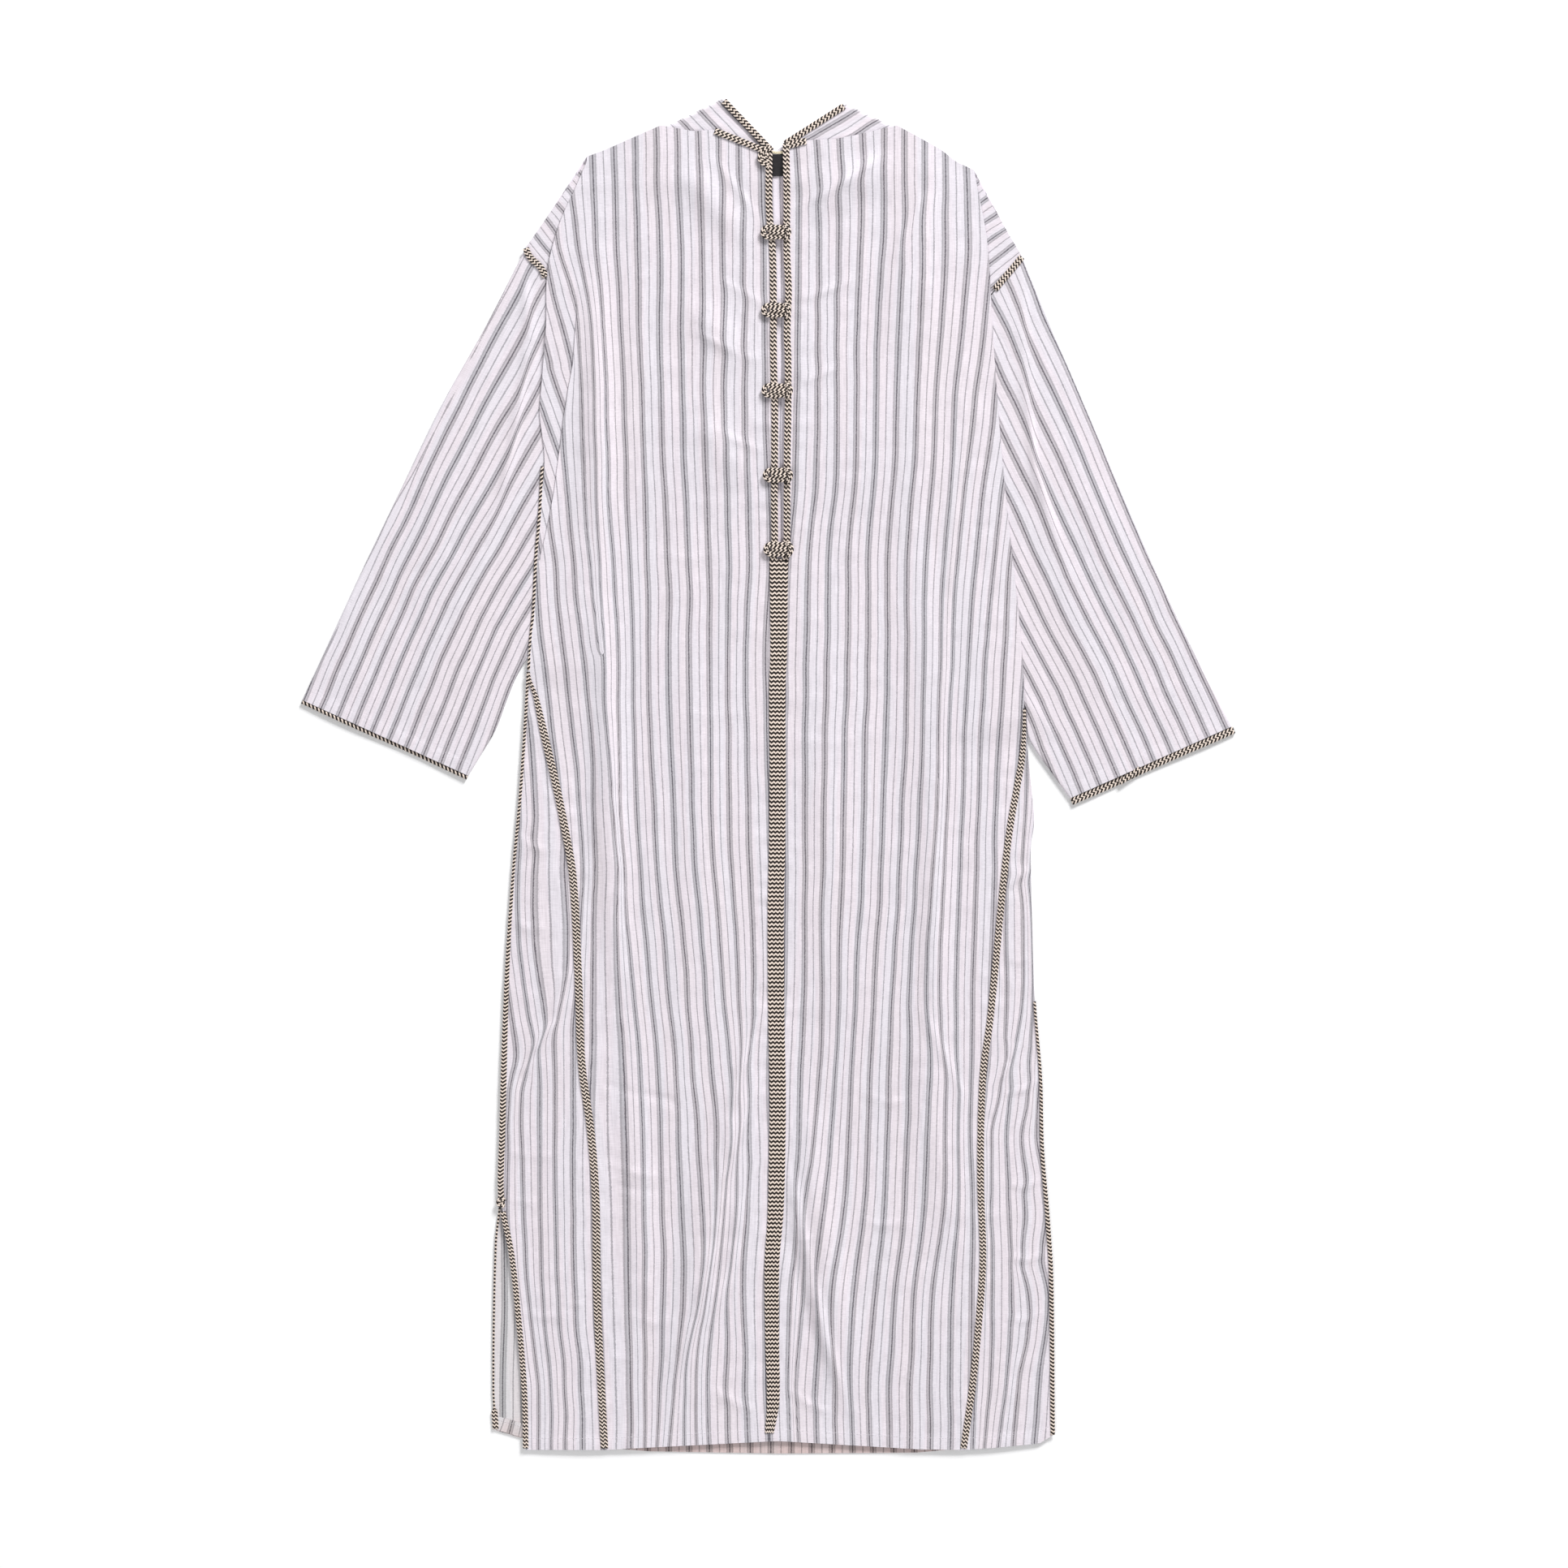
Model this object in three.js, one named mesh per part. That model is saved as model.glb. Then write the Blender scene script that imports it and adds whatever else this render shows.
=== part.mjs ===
// A hooded pullover robe of striped cotton, laid flat on its back with the hood thrown behind it.
// Millimetres. X runs across the robe, Y from the hem to the hood and Z up from the surface.
// The origin is on that surface, under the middle of the robe.

import * as THREE from 'three';

// ---------------------------------------------------------------- driving sizes

const WALL = 1.2; // a layer of cloth
const GAP = 0.3; // between pieces at a seam, and between layers that lie on each other
const SEAM = GAP / 2;
const FRONT_REST = WALL + GAP; // underside of the front where it lies on the back
const HOOD_THICK = 2.4; // the hood's hidden layers, as one
const HOOD_RISE = HOOD_THICK + GAP; // lift of the back over the hood
const FLAP_UNDER = HOOD_RISE + FRONT_REST; // underside of the hood's showing flap
const FLAP_RISE = WALL + GAP; // lift of the front over the flap
const HOOD_MARGIN = 25; // the lift is whole this far past the hood
const HOOD_FADE = 32; // and dies out over this to the sides
const HOOD_FADE_LOW = 140; // and over this towards the hem
const SLEEVE_THICK = 3.4; // both layers of a sleeve and the hollow between them
const SIDE_LIFT = SLEEVE_THICK + GAP - FRONT_REST; // lift of the front's edge over the sleeve
const LIFT_REACH = 40; // how far in from the edge that lift is whole
const LIFT_FADE = 70;
const UNDERARM_FADE = 33;
const CROWN = 0.8; // slack of the front over the back, away from the sides
const CROWN_FADE = 60;
const LABEL_THICK = 0.6;
const LABEL_EASE = 0.1;
const BRAID_WIDE = 6.6;
const BRAID_THICK = 1.8;
const BRAID_EASE = 0.25; // spare room under a braid, over cloth that is faceted
const CALM_EDGE = 12; // no folds this near a braid or an edge
const CALM_FADE = 24; // and whole folds this much further away

const CLOTH = { color: 0xe4dfe6, roughness: 0.88, metalness: 0 };
const INSIDE = { color: 0xd9d2dc, roughness: 0.9, metalness: 0 };
const BRAID = { color: 0x8a8070, roughness: 0.7, metalness: 0 };
const LABEL = { color: 0x17161a, roughness: 0.6, metalness: 0 };

// ---------------------------------------------------------------- outlines

// cut: the front's outer edge, along the pleat's fold and then down the gore seam.
// outline: the outer edge below the underarm, on the front gore. backOutline: the same, on the back.
// armhole: top corner, the turn under the front's edge, and the underarm.
const LEFT = {
  name: 'left',
  outward: -1,
  cornerY: 648,
  underarmY: 108.8,
  liftY: 118,
  cut: [
    { y: 648, x: -190 }, { y: 620, x: -202 }, { y: 589, x: -215.5 }, { y: 556, x: -225.7 },
    { y: 523, x: -231.6 }, { y: 473, x: -232.5 }, { y: 405, x: -237.6 }, { y: 381, x: -239.3 },
    { y: 331, x: -234.2 }, { y: 270, x: -240 }, { y: 178, x: -246 }, { y: 108.8, x: -251.2 },
    { y: 80.8, x: -242.7 }, { y: 42.5, x: -234.2 }, { y: -4.3, x: -223.1 }, { y: -49.3, x: -213.8 },
    { y: -105.4, x: -204.4 }, { y: -213.4, x: -198.5 }, { y: -301.8, x: -195 }, { y: -371.5, x: -185.7 },
    { y: -440.3, x: -180.6 }, { y: -548.3, x: -178.9 }, { y: -703.8, x: -171.3 },
  ],
  outline: [
    { y: 108.8, x: -251.2 }, { y: 49.3, x: -254.6 }, { y: -23.8, x: -259.7 }, { y: -97.8, x: -266.5 },
    { y: -207.4, x: -273.3 }, { y: -377.4, x: -278.4 }, { y: -443.7, x: -279.2 }, { y: -498.1, x: -269 },
    { y: -548.3, x: -263.1 }, { y: -639.2, x: -255.4 }, { y: -705.5, x: -253.7 },
  ],
  backOutline: [
    { y: 108.8, x: -251.2 }, { y: 49.3, x: -254.6 }, { y: -23.8, x: -259.7 }, { y: -97.8, x: -266.5 },
    { y: -207.4, x: -273.3 }, { y: -377.4, x: -278.4 }, { y: -443.7, x: -280.4 }, { y: -491.3, x: -285.2 },
    { y: -639.2, x: -287.7 }, { y: -685, x: -285.2 },
  ],
  armhole: [{ x: -253.7, y: 552.5 }, { x: -217, y: 498 }, { x: -240, y: 135 }],
  sleeveTop: [
    { y: 552.5, x: -253.7 }, { y: 472.6, x: -294.5 }, { y: 387.6, x: -342 }, { y: 302.6, x: -383 },
    { y: 217.6, x: -423.7 }, { y: 132.6, x: -462.8 }, { y: 79.3, x: -487.5 },
  ],
  sleeveLow: [
    { y: 135, x: -240 }, { y: 124.1, x: -251.2 }, { y: 102.9, x: -263.9 }, { y: 79.9, x: -273.3 },
    { y: 48.5, x: -285.2 }, { y: 21.3, x: -301.3 }, { y: 0.2, x: -314.1 },
  ],
  cuffBraid: 3.7,
  neckline: [
    { x: 1, y: 653 }, { x: -20, y: 661.5 }, { x: -56.5, y: 676 }, { x: -78, y: 674.5 },
    { x: -112, y: 680.5 }, { x: -142, y: 667.5 }, { x: -173, y: 654 }, { x: -190, y: 648 },
  ],
  slit: [
    { y: 650, x: 0.9 }, { y: 600, x: 0.9 }, { y: 580, x: 2 }, { y: 549, x: 4.7 }, { y: 507, x: 5.5 },
    { y: 439, x: 5.7 }, { y: 379, x: 7 }, { y: 300, x: 6.6 }, { y: 240, x: 7 },
  ],
  capInner: [{ y: 641, x: -184 }, { y: 600, x: -192 }, { y: 560, x: -203 }, { y: 498, x: -217 }],
  hoodTop: [{ x: -108, y: 679 }, { x: -46.3, y: 709.5 }, { x: 0, y: 661 }, { x: 9.7, y: 655 }],
  hoodLow: [
    { x: -108, y: 462 }, { x: -92, y: 430 }, { x: -62, y: 410 }, { x: -28, y: 402 }, { x: 9.7, y: 400 },
  ],
};

const RIGHT = {
  name: 'right',
  outward: 1,
  cornerY: 634,
  underarmY: 70.6,
  liftY: 60,
  cut: [
    { y: 634, x: 215.5 }, { y: 604.4, x: 221.4 }, { y: 568.7, x: 228.2 }, { y: 534.7, x: 231.6 },
    { y: 502.4, x: 233.3 }, { y: 416.5, x: 238.4 }, { y: 331.5, x: 245.2 }, { y: 255.9, x: 252.9 },
    { y: 195.5, x: 259.7 }, { y: 120.7, x: 266.5 }, { y: 70.6, x: 268.2 }, { y: 24.7, x: 266.5 },
    { y: -17, x: 259.7 }, { y: -51, x: 253.7 }, { y: -105.4, x: 246.9 }, { y: -184.5, x: 239.3 },
    { y: -254.2, x: 232.5 }, { y: -314.5, x: 224.8 }, { y: -419.9, x: 222.3 }, { y: -504.9, x: 224.8 },
    { y: -571.2, x: 220.6 }, { y: -639.2, x: 213.8 }, { y: -705.5, x: 204.4 },
  ],
  outline: [
    { y: 70.6, x: 268.2 }, { y: 19.5, x: 272.4 }, { y: -23.8, x: 276.7 }, { y: -49.3, x: 278.4 },
    { y: -75.7, x: 275 }, { y: -166.6, x: 276.7 }, { y: -240.6, x: 279.2 }, { y: -315.4, x: 285.2 },
    { y: -391, x: 286.9 }, { y: -466.7, x: 292.8 }, { y: -524.5, x: 296.2 }, { y: -690.2, x: 297.9 },
  ],
  armhole: [{ x: 265.6, y: 543.2 }, { x: 220, y: 488 }, { x: 262, y: 80 }],
  sleeveTop: [
    { y: 543.2, x: 265.6 }, { y: 472.6, x: 294.5 }, { y: 387.6, x: 331 }, { y: 302.6, x: 367 },
    { y: 217.6, x: 404 }, { y: 132.6, x: 444 }, { y: 52.1, x: 486.1 },
  ],
  sleeveLow: [
    { y: 80, x: 262 }, { y: 75, x: 267 }, { y: 69, x: 269.8 }, { y: 50, x: 270.9 }, { y: 34.9, x: 275 },
    { y: 1.7, x: 297.9 }, { y: -23.5, x: 316 },
  ],
  cuffBraid: 7.4,
  neckline: [
    { x: 19.5, y: 659.6 }, { x: 37, y: 664.7 }, { x: 71, y: 666.4 }, { x: 96.5, y: 671.5 },
    { x: 134.7, y: 680.5 }, { x: 157.7, y: 668 }, { x: 182, y: 654.5 }, { x: 197, y: 642.6 },
    { x: 215.5, y: 634 },
  ],
  slit: [
    { y: 655, x: 18.8 }, { y: 608, x: 19.6 }, { y: 549, x: 19.6 }, { y: 507, x: 21.3 }, { y: 464, x: 19.8 },
    { y: 439, x: 20.8 }, { y: 379, x: 20.8 }, { y: 337, x: 20 }, { y: 240, x: 19.6 },
  ],
  capInner: [{ y: 628, x: 208 }, { y: 590, x: 213 }, { y: 545, x: 217 }, { y: 488, x: 220 }],
  hoodTop: [{ x: 131, y: 680 }, { x: 79.5, y: 704 }, { x: 20, y: 666 }, { x: 10, y: 655 }],
  hoodLow: [
    { x: 131, y: 462 }, { x: 115, y: 430 }, { x: 84, y: 410 }, { x: 48, y: 402 }, { x: 10, y: 400 },
  ],
};
RIGHT.backOutline = RIGHT.outline;

// The seam below the slit, and the width of each of the three braids that cover it.
const CENTRE_SEAM = [
  { y: 222, x: 11.3, wide: 6.1 }, { y: 130, x: 11, wide: 5.6 }, { y: 90, x: 9.6, wide: 5.4 },
  { y: 5, x: 10, wide: 5.4 }, { y: -80, x: 9.3, wide: 5.4 }, { y: -140, x: 8, wide: 5.4 },
  { y: -250, x: 8.6, wide: 5.4 }, { y: -335, x: 10, wide: 5.4 }, { y: -420, x: 9, wide: 5.4 },
  { y: -462, x: 7.6, wide: 5.2 }, { y: -510, x: 4, wide: 4.9 }, { y: -590, x: 4.2, wide: 4.6 },
  { y: -655, x: 5.2, wide: 4.2 }, { y: -690, x: 1, wide: 2.8 },
];
const SLIT_END = 222;
const SLIT_TAPER = 18; // the slit's edges draw together over this
const HEM_REF = -705;
const SKIRT_TOP = -20; // from here down, all front panels share their rows
const FRONT_HEM = [
  { x: -254, y: -705.5 }, { x: -171, y: -705.5 }, { x: -124, y: -703 }, { x: 10, y: -696.2 },
  { x: 160, y: -705 }, { x: 205, y: -705.5 }, { x: 241, y: -703 }, { x: 284, y: -698.7 },
  { x: 298, y: -690.2 },
];
const BACK_HEM = [
  { x: -286, y: -685 }, { x: -257, y: -693.6 }, { x: -171, y: -703.5 }, { x: -124, y: -707.2 },
  { x: 10, y: -709.4 }, { x: 156, y: -708.5 }, { x: 205, y: -704 }, { x: 284, y: -696.5 },
  { x: 298, y: -689.5 },
];
const BACK_NECK = [
  { x: -190, y: 648 }, { x: -173, y: 654 }, { x: -142, y: 667.5 }, { x: -115, y: 679 },
  { x: -104, y: 664 }, { x: -60, y: 660 }, { x: -10, y: 649.5 }, { x: 30, y: 649.5 },
  { x: 80, y: 660 }, { x: 126, y: 664 }, { x: 138, y: 678.5 }, { x: 157.7, y: 668 },
  { x: 182, y: 654.5 }, { x: 197, y: 642.6 }, { x: 215.5, y: 634 },
];

// Soft folds of the front: a ridge from one place to another, with its half width and height.
const FOLDS = [
  { fromX: -180, fromY: 560, toX: -176, toY: 200, wide: 15, high: 4.2 },
  { fromX: -174, fromY: 220, toX: -160, toY: -280, wide: 16, high: 4.6 },
  { fromX: -150, fromY: -250, toX: -120, toY: -640, wide: 20, high: 2.6 },
  { fromX: -96, fromY: 640, toX: -22, toY: 560, wide: 17, high: 3.4 },
  { fromX: -88, fromY: 500, toX: -20, toY: 430, wide: 16, high: 3 },
  { fromX: -70, fromY: 380, toX: -22, toY: 300, wide: 16, high: 2.4 },
  { fromX: 128, fromY: 655, toX: 42, toY: 585, wide: 17, high: 3.6 },
  { fromX: 164, fromY: 610, toX: 120, toY: 440, wide: 18, high: 3.2 },
  { fromX: 150, fromY: 320, toX: 176, toY: -60, wide: 17, high: 3 },
  { fromX: 173, fromY: 20, toX: 174, toY: -350, wide: 16, high: 4.4 },
  { fromX: 150, fromY: -240, toX: 200, toY: -520, wide: 18, high: 3 },
  { fromX: 60, fromY: 200, toX: 66, toY: -260, wide: 22, high: 2.8 },
  { fromX: -76, fromY: 150, toX: -70, toY: -230, wide: 22, high: 2.6 },
  { fromX: -26, fromY: -250, toX: -100, toY: -660, wide: 19, high: 5 },
  { fromX: 34, fromY: -330, toX: 86, toY: -660, wide: 19, high: 5 },
];

const SLEEVE_FOLDS = [
  { fromX: -300, fromY: 400, toX: -380, toY: 160, wide: 22, high: 1.6 },
  { fromX: -270, fromY: 330, toX: -350, toY: 90, wide: 20, high: 1.4 },
  { fromX: 300, fromY: 390, toX: 390, toY: 130, wide: 22, high: 1.6 },
  { fromX: 285, fromY: 300, toX: 350, toY: 60, wide: 20, high: 1.5 },
];

const KNOTS = [
  { x: 8.9, y: 568.7 }, { x: 8.9, y: 487 }, { x: 10.6, y: 403 }, { x: 10.6, y: 314.5 }, { x: 11.5, y: 237 },
];
const KNOT_SIZE = { wide: 30, tall: 15.5, thick: 6, rise: 0.05 };
const NECK_KNOT = { x: -1, y: 646, wide: 13, tall: 15, thick: 5, rise: 0.3 };
const SLIT_KNOT = { x: -278.8, y: -446, wide: 10, tall: 9, thick: 4, rise: 0.3 };

// ---------------------------------------------------------------- plain helpers

const mix = THREE.MathUtils.lerp;

function smooth(t) {
  return THREE.MathUtils.smoothstep(t, 0, 1);
}

function spread(from, to, steps) {
  return Array.from({ length: steps + 1 }, (_, i) => mix(from, to, i / steps));
}

// The row of a table that a place falls after, and how far it is towards the next row.
function find(rows, at, place) {
  const last = rows.length - 1;
  const rising = rows[last][at] > rows[0][at] ? 1 : -1;
  let i = 0;
  while (i < last - 1 && rising * place > rising * rows[i + 1][at]) {
    i += 1;
  }
  const share = (place - rows[i][at]) / (rows[i + 1][at] - rows[i][at]);
  return { i, share: THREE.MathUtils.clamp(share, 0, 1) };
}

// Reads a table along straight lines between its rows.
function lineAt(rows, at, place, want) {
  const { i, share } = find(rows, at, place);
  return mix(rows[i][want], rows[i + 1][want], share);
}

// Reads a table along a smooth curve: a Hermite span between rows, with the mean slope at each row.
function curveAt(rows, at, place, want) {
  const { i, share } = find(rows, at, place);
  const last = rows.length - 1;
  const span = rows[i + 1][at] - rows[i][at];
  const slope = (row) => {
    const before = rows[Math.max(row - 1, 0)];
    const after = rows[Math.min(row + 1, last)];
    return ((after[want] - before[want]) / (after[at] - before[at])) * span;
  };
  const square = share * share;
  const cube = square * share;
  return (2 * cube - 3 * square + 1) * rows[i][want] + (3 * square - 2 * cube) * rows[i + 1][want]
    + (cube - 2 * square + share) * slope(i) + (cube - square) * slope(i + 1);
}

// ---------------------------------------------------------------- the lie of the cloth

const MIDDLE_X = 10;

function sideOf(x) {
  return x < MIDDLE_X ? LEFT : RIGHT;
}

// How far everything above the hidden hood is lifted by it.
function hoodBed(x, y) {
  const left = LEFT.hoodTop[0].x - HOOD_MARGIN;
  const right = RIGHT.hoodTop[0].x + HOOD_MARGIN;
  const low = LEFT.hoodLow.at(-1).y - HOOD_MARGIN;
  const aside = Math.max(left - x, 0, x - right) / HOOD_FADE;
  const below = Math.max(low - y, 0) / HOOD_FADE_LOW;
  return HOOD_RISE * (1 - smooth(Math.hypot(aside, below)));
}

// The front's lift over the tucked edge of the hood's flap.
function flapLift(x, y) {
  const away = Math.max(LEFT.hoodTop[0].x - 4 - x, 0, x - RIGHT.hoodTop[0].x - 4);
  return FLAP_RISE * (1 - smooth(away / 24)) * smooth((y - 595) / 35);
}

function outerEdge(side, y) {
  return y > side.underarmY ? curveAt(side.cut, 'y', y, 'x') : curveAt(side.outline, 'y', y, 'x');
}

// The front's edge rides over the sleeve and the shoulder cap, down to the underarm.
function sideLift(x, y) {
  const side = sideOf(x);
  const inward = Math.abs(outerEdge(side, y) - x);
  const near = 1 - smooth((inward - LIFT_REACH) / LIFT_FADE);
  const above = smooth((y - side.liftY) / UNDERARM_FADE + 1);
  return SIDE_LIFT * near * above + CROWN * smooth(inward / CROWN_FADE);
}

// Height of a list of ridges: each falls off as a bell across it, and fades to its ends.
function ridges(list, x, y) {
  return list.reduce((height, fold) => {
    const runX = fold.toX - fold.fromX;
    const runY = fold.toY - fold.fromY;
    const length = Math.hypot(runX, runY);
    const along = ((x - fold.fromX) * runX + (y - fold.fromY) * runY) / length;
    const aside = ((x - fold.fromX) * runY - (y - fold.fromY) * runX) / length;
    const share = THREE.MathUtils.clamp(along / length, 0, 1);
    return height + fold.high * Math.sin(Math.PI * share) * Math.exp(-((aside / fold.wide) ** 2));
  }, 0);
}

// The edge of the slit, drawn in at its lower end to a place beside the centre seam.
function slitPlace(side, y, beside) {
  const seam = curveAt(CENTRE_SEAM, 'y', Math.min(y, SLIT_END), 'x') + side.outward * beside;
  const slit = curveAt(side.slit, 'y', Math.max(y, SLIT_END + SLIT_TAPER), 'x');
  return mix(seam, slit, smooth((y - SLIT_END) / SLIT_TAPER));
}

// 0 at the braids and edges, 1 away from them.
function calm(x, y) {
  const side = sideOf(x);
  const seam = slitPlace(side, y, SEAM);
  const cut = curveAt(side.cut, 'y', y, 'x');
  const neck = lineAt(side.neckline, 'x', x, 'y') - y;
  const hem = y - lineAt(FRONT_HEM, 'x', x, 'y');
  const nearest = Math.min(Math.abs(x - seam), Math.abs(x - cut), neck, hem);
  return smooth((nearest - CALM_EDGE) / CALM_FADE);
}

function frontUnder(x, y) {
  const rest = FRONT_REST + hoodBed(x, y) + flapLift(x, y) + sideLift(x, y);
  return rest + ridges(FOLDS, x, y) * calm(x, y);
}

// ---------------------------------------------------------------- solids

function meshOf(name, points, faces, look) {
  const geometry = new THREE.BufferGeometry();
  geometry.setAttribute('position', new THREE.Float32BufferAttribute(points.flat(), 3));
  geometry.setIndex(faces.flat());
  geometry.computeVertexNormals();
  const mesh = new THREE.Mesh(geometry, new THREE.MeshStandardMaterial(look));
  mesh.name = name;
  return mesh;
}

// Turns the faces round where the solid would be inside out.
function outward(points, faces) {
  const volume = faces.reduce((sum, [a, b, c]) => {
    const [p, q, r] = [points[a], points[b], points[c]];
    const cross = [q[1] * r[2] - q[2] * r[1], q[2] * r[0] - q[0] * r[2], q[0] * r[1] - q[1] * r[0]];
    return sum + p[0] * cross[0] + p[1] * cross[1] + p[2] * cross[2];
  }, 0);
  return volume > 0 ? faces : faces.map(([a, b, c]) => [a, c, b]);
}

// A wall of cloth over a grid of [x, y] places: a lower and an upper skin, closed round the edge.
function sheet(name, grid, under, thick, look) {
  const rows = grid.length;
  const columns = grid[0].length;
  const low = grid.flat().map(([x, y]) => [x, y, under(x, y)]);
  const high = low.map(([x, y, z]) => [x, y, z + thick]);
  const faces = [];
  const quad = (a, b, c, d) => faces.push([a, b, c], [a, c, d]);
  for (let i = 0; i < rows - 1; i += 1) {
    for (let j = 0; j < columns - 1; j += 1) {
      const a = i * columns + j;
      quad(low.length + a, low.length + a + 1, low.length + a + 1 + columns, low.length + a + columns);
      quad(a, a + columns, a + columns + 1, a + 1);
    }
  }
  const wall = (a, b) => quad(a, b, b + low.length, a + low.length);
  for (let j = 0; j < columns - 1; j += 1) {
    wall(j, j + 1);
    wall((rows - 1) * columns + j + 1, (rows - 1) * columns + j);
  }
  for (let i = 0; i < rows - 1; i += 1) {
    wall((i + 1) * columns, i * columns);
    wall(i * columns + columns - 1, (i + 1) * columns + columns - 1);
  }
  const points = low.concat(high);
  return meshOf(name, points, outward(points, faces), look);
}

// Joins closed loops of the same count into a skin, without its ends.
function skin(loops, first) {
  const count = loops[0].length;
  const faces = [];
  for (let i = 0; i < loops.length - 1; i += 1) {
    for (let j = 0; j < count; j += 1) {
      const a = first + i * count + j;
      const b = first + i * count + ((j + 1) % count);
      faces.push([a, b, b + count], [a, b + count, a + count]);
    }
  }
  return faces;
}

// A solid lofted through flat loops, with both ends filled. The loops are [x, y, z] points, and
// drawn gives the plane's two coordinates of a point, for filling the ends.
function loft(name, loops, drawn, look) {
  const count = loops[0].length;
  const points = loops.flat();
  const faces = skin(loops, 0);
  const fill = (loop) => {
    const flat = loop.map((point) => new THREE.Vector2(...drawn(point)));
    return THREE.ShapeUtils.triangulateShape(flat, []);
  };
  const lastAt = (loops.length - 1) * count;
  const closes = ([a, b]) => (b - a === 1 || b - a === 1 - count);
  const orient = (face) => {
    const edges = [[face[0], face[1]], [face[1], face[2]], [face[2], face[0]]];
    return edges.some(closes) ? face : [face[0], face[2], face[1]];
  };
  const near = fill(loops[0]);
  const far = fill(loops.at(-1));
  const forward = near.some((face) => orient(face) === face);
  near.forEach(([a, b, c]) => faces.push(forward ? [a, c, b] : [a, b, c]));
  const ahead = far.some((face) => orient(face) === face);
  far.forEach(([a, b, c]) => {
    const turned = ahead ? [a, b, c] : [a, c, b];
    faces.push(turned.map((i) => i + lastAt));
  });
  return meshOf(name, points, outward(points, faces), look);
}

// A flat strip along a path of [x, y] places: a low trapezium on what it lies on.
function strip(name, path, wide, under, look, thick = BRAID_THICK) {
  const loops = path.map(([x, y], i) => {
    const [fromX, fromY] = path[Math.max(i - 1, 0)];
    const [toX, toY] = path[Math.min(i + 1, path.length - 1)];
    const run = Math.hypot(toX - fromX, toY - fromY);
    const half = (typeof wide === 'number' ? wide : wide(y)) / 2;
    const aside = [(-(toY - fromY) / run) * half, ((toX - fromX) / run) * half];
    const edges = [-1, 0, 1].map((k) => under(x + aside[0] * k, y + aside[1] * k));
    const base = Math.max(...edges) + BRAID_EASE;
    const place = (k, z) => [x + aside[0] * k, y + aside[1] * k, z];
    return [place(-1, base), place(1, base), place(0.6, base + thick), place(-0.6, base + thick)];
  });
  const points = loops.flat();
  const end = (loops.length - 1) * 4;
  const ends = [[0, 2, 1], [0, 3, 2], [end, end + 1, end + 2], [end, end + 2, end + 3]];
  const faces = skin(loops, 0).concat(ends);
  return meshOf(name, points, outward(points, faces), look);
}

// ---------------------------------------------------------------- body panels

// Rows of the front: close together at the neck and the underarm, wider down the skirt.
function frontStops(side) {
  const high = side.underarmY + 22;
  const low = side.underarmY - 55;
  return [
    ...spread(side.cornerY, 520, 6), ...spread(480, high + 40, 8), high,
    ...spread(side.underarmY, low, 3), ...spread(SKIRT_TOP, HEM_REF, 13),
  ];
}

function hemDrop(hem, x, stop) {
  return (lineAt(hem, 'x', x, 'y') - HEM_REF) * smooth((-590 - stop) / 115);
}

function frontGrid(side) {
  return frontStops(side).map((stop) => spread(0, 1, 15).map((u) => {
    const cut = (y) => curveAt(side.cut, 'y', y, 'x') - side.outward * SEAM;
    const across = (y) => mix(slitPlace(side, y, SEAM), cut(y), u);
    const guess = across(stop);
    const rise = (lineAt(side.neckline, 'x', guess, 'y') - side.cornerY) * smooth((stop - 520) / 110);
    const y = stop + rise + hemDrop(FRONT_HEM, guess, stop);
    return [across(y), y];
  }));
}

function frontGoreGrid(side) {
  const stops = frontStops(side).filter((stop) => stop < side.underarmY - 4);
  return stops.map((stop) => spread(0, 1, 4).map((u) => {
    const across = (y) => {
      const seam = curveAt(side.cut, 'y', y, 'x') + side.outward * SEAM;
      return mix(seam, curveAt(side.outline, 'y', y, 'x'), u);
    };
    const y = stop + hemDrop(FRONT_HEM, across(stop), stop);
    return [across(y), y];
  }));
}

// The back's side edge: down the shoulder cap, the armhole and then the gore seam.
function backEdge(side, y) {
  const [top, turn, underarm] = side.armhole;
  const inset = side.outward * 0.5;
  const corner = side.cut[0];
  if (y > top.y) {
    return mix(top.x, corner.x, (y - top.y) / (corner.y - top.y));
  }
  if (y > turn.y) {
    return mix(turn.x, top.x, (y - turn.y) / (top.y - turn.y)) - inset;
  }
  if (y > underarm.y) {
    return mix(underarm.x, turn.x, (y - underarm.y) / (turn.y - underarm.y)) - inset;
  }
  if (y > side.underarmY) {
    const share = (y - side.underarmY) / (underarm.y - side.underarmY);
    return mix(side.cut.find((row) => row.y === side.underarmY).x, underarm.x, share) - inset;
  }
  return curveAt(side.cut, 'y', y, 'x') - side.outward * SEAM;
}

function backGrid() {
  const corners = [LEFT, RIGHT].flatMap((side) => side.armhole.map((place) => place.y));
  const upper = [...spread(641, 570, 3), 450, 400, 360, 320, 250, 180];
  const lower = [LEFT.underarmY, RIGHT.underarmY, ...spread(40, HEM_REF, 14)];
  const stops = [...corners, ...upper, ...lower].sort((a, b) => b - a);
  return stops.map((stop) => spread(0, 1, 16).map((u) => {
    const across = (y) => mix(backEdge(LEFT, y), backEdge(RIGHT, y), u);
    const guess = across(stop);
    const rise = (lineAt(BACK_NECK, 'x', guess, 'y') - 641) * smooth((stop - 570) / 60);
    const y = stop + rise + hemDrop(BACK_HEM, guess, stop);
    return [across(y), y];
  }));
}

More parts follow.
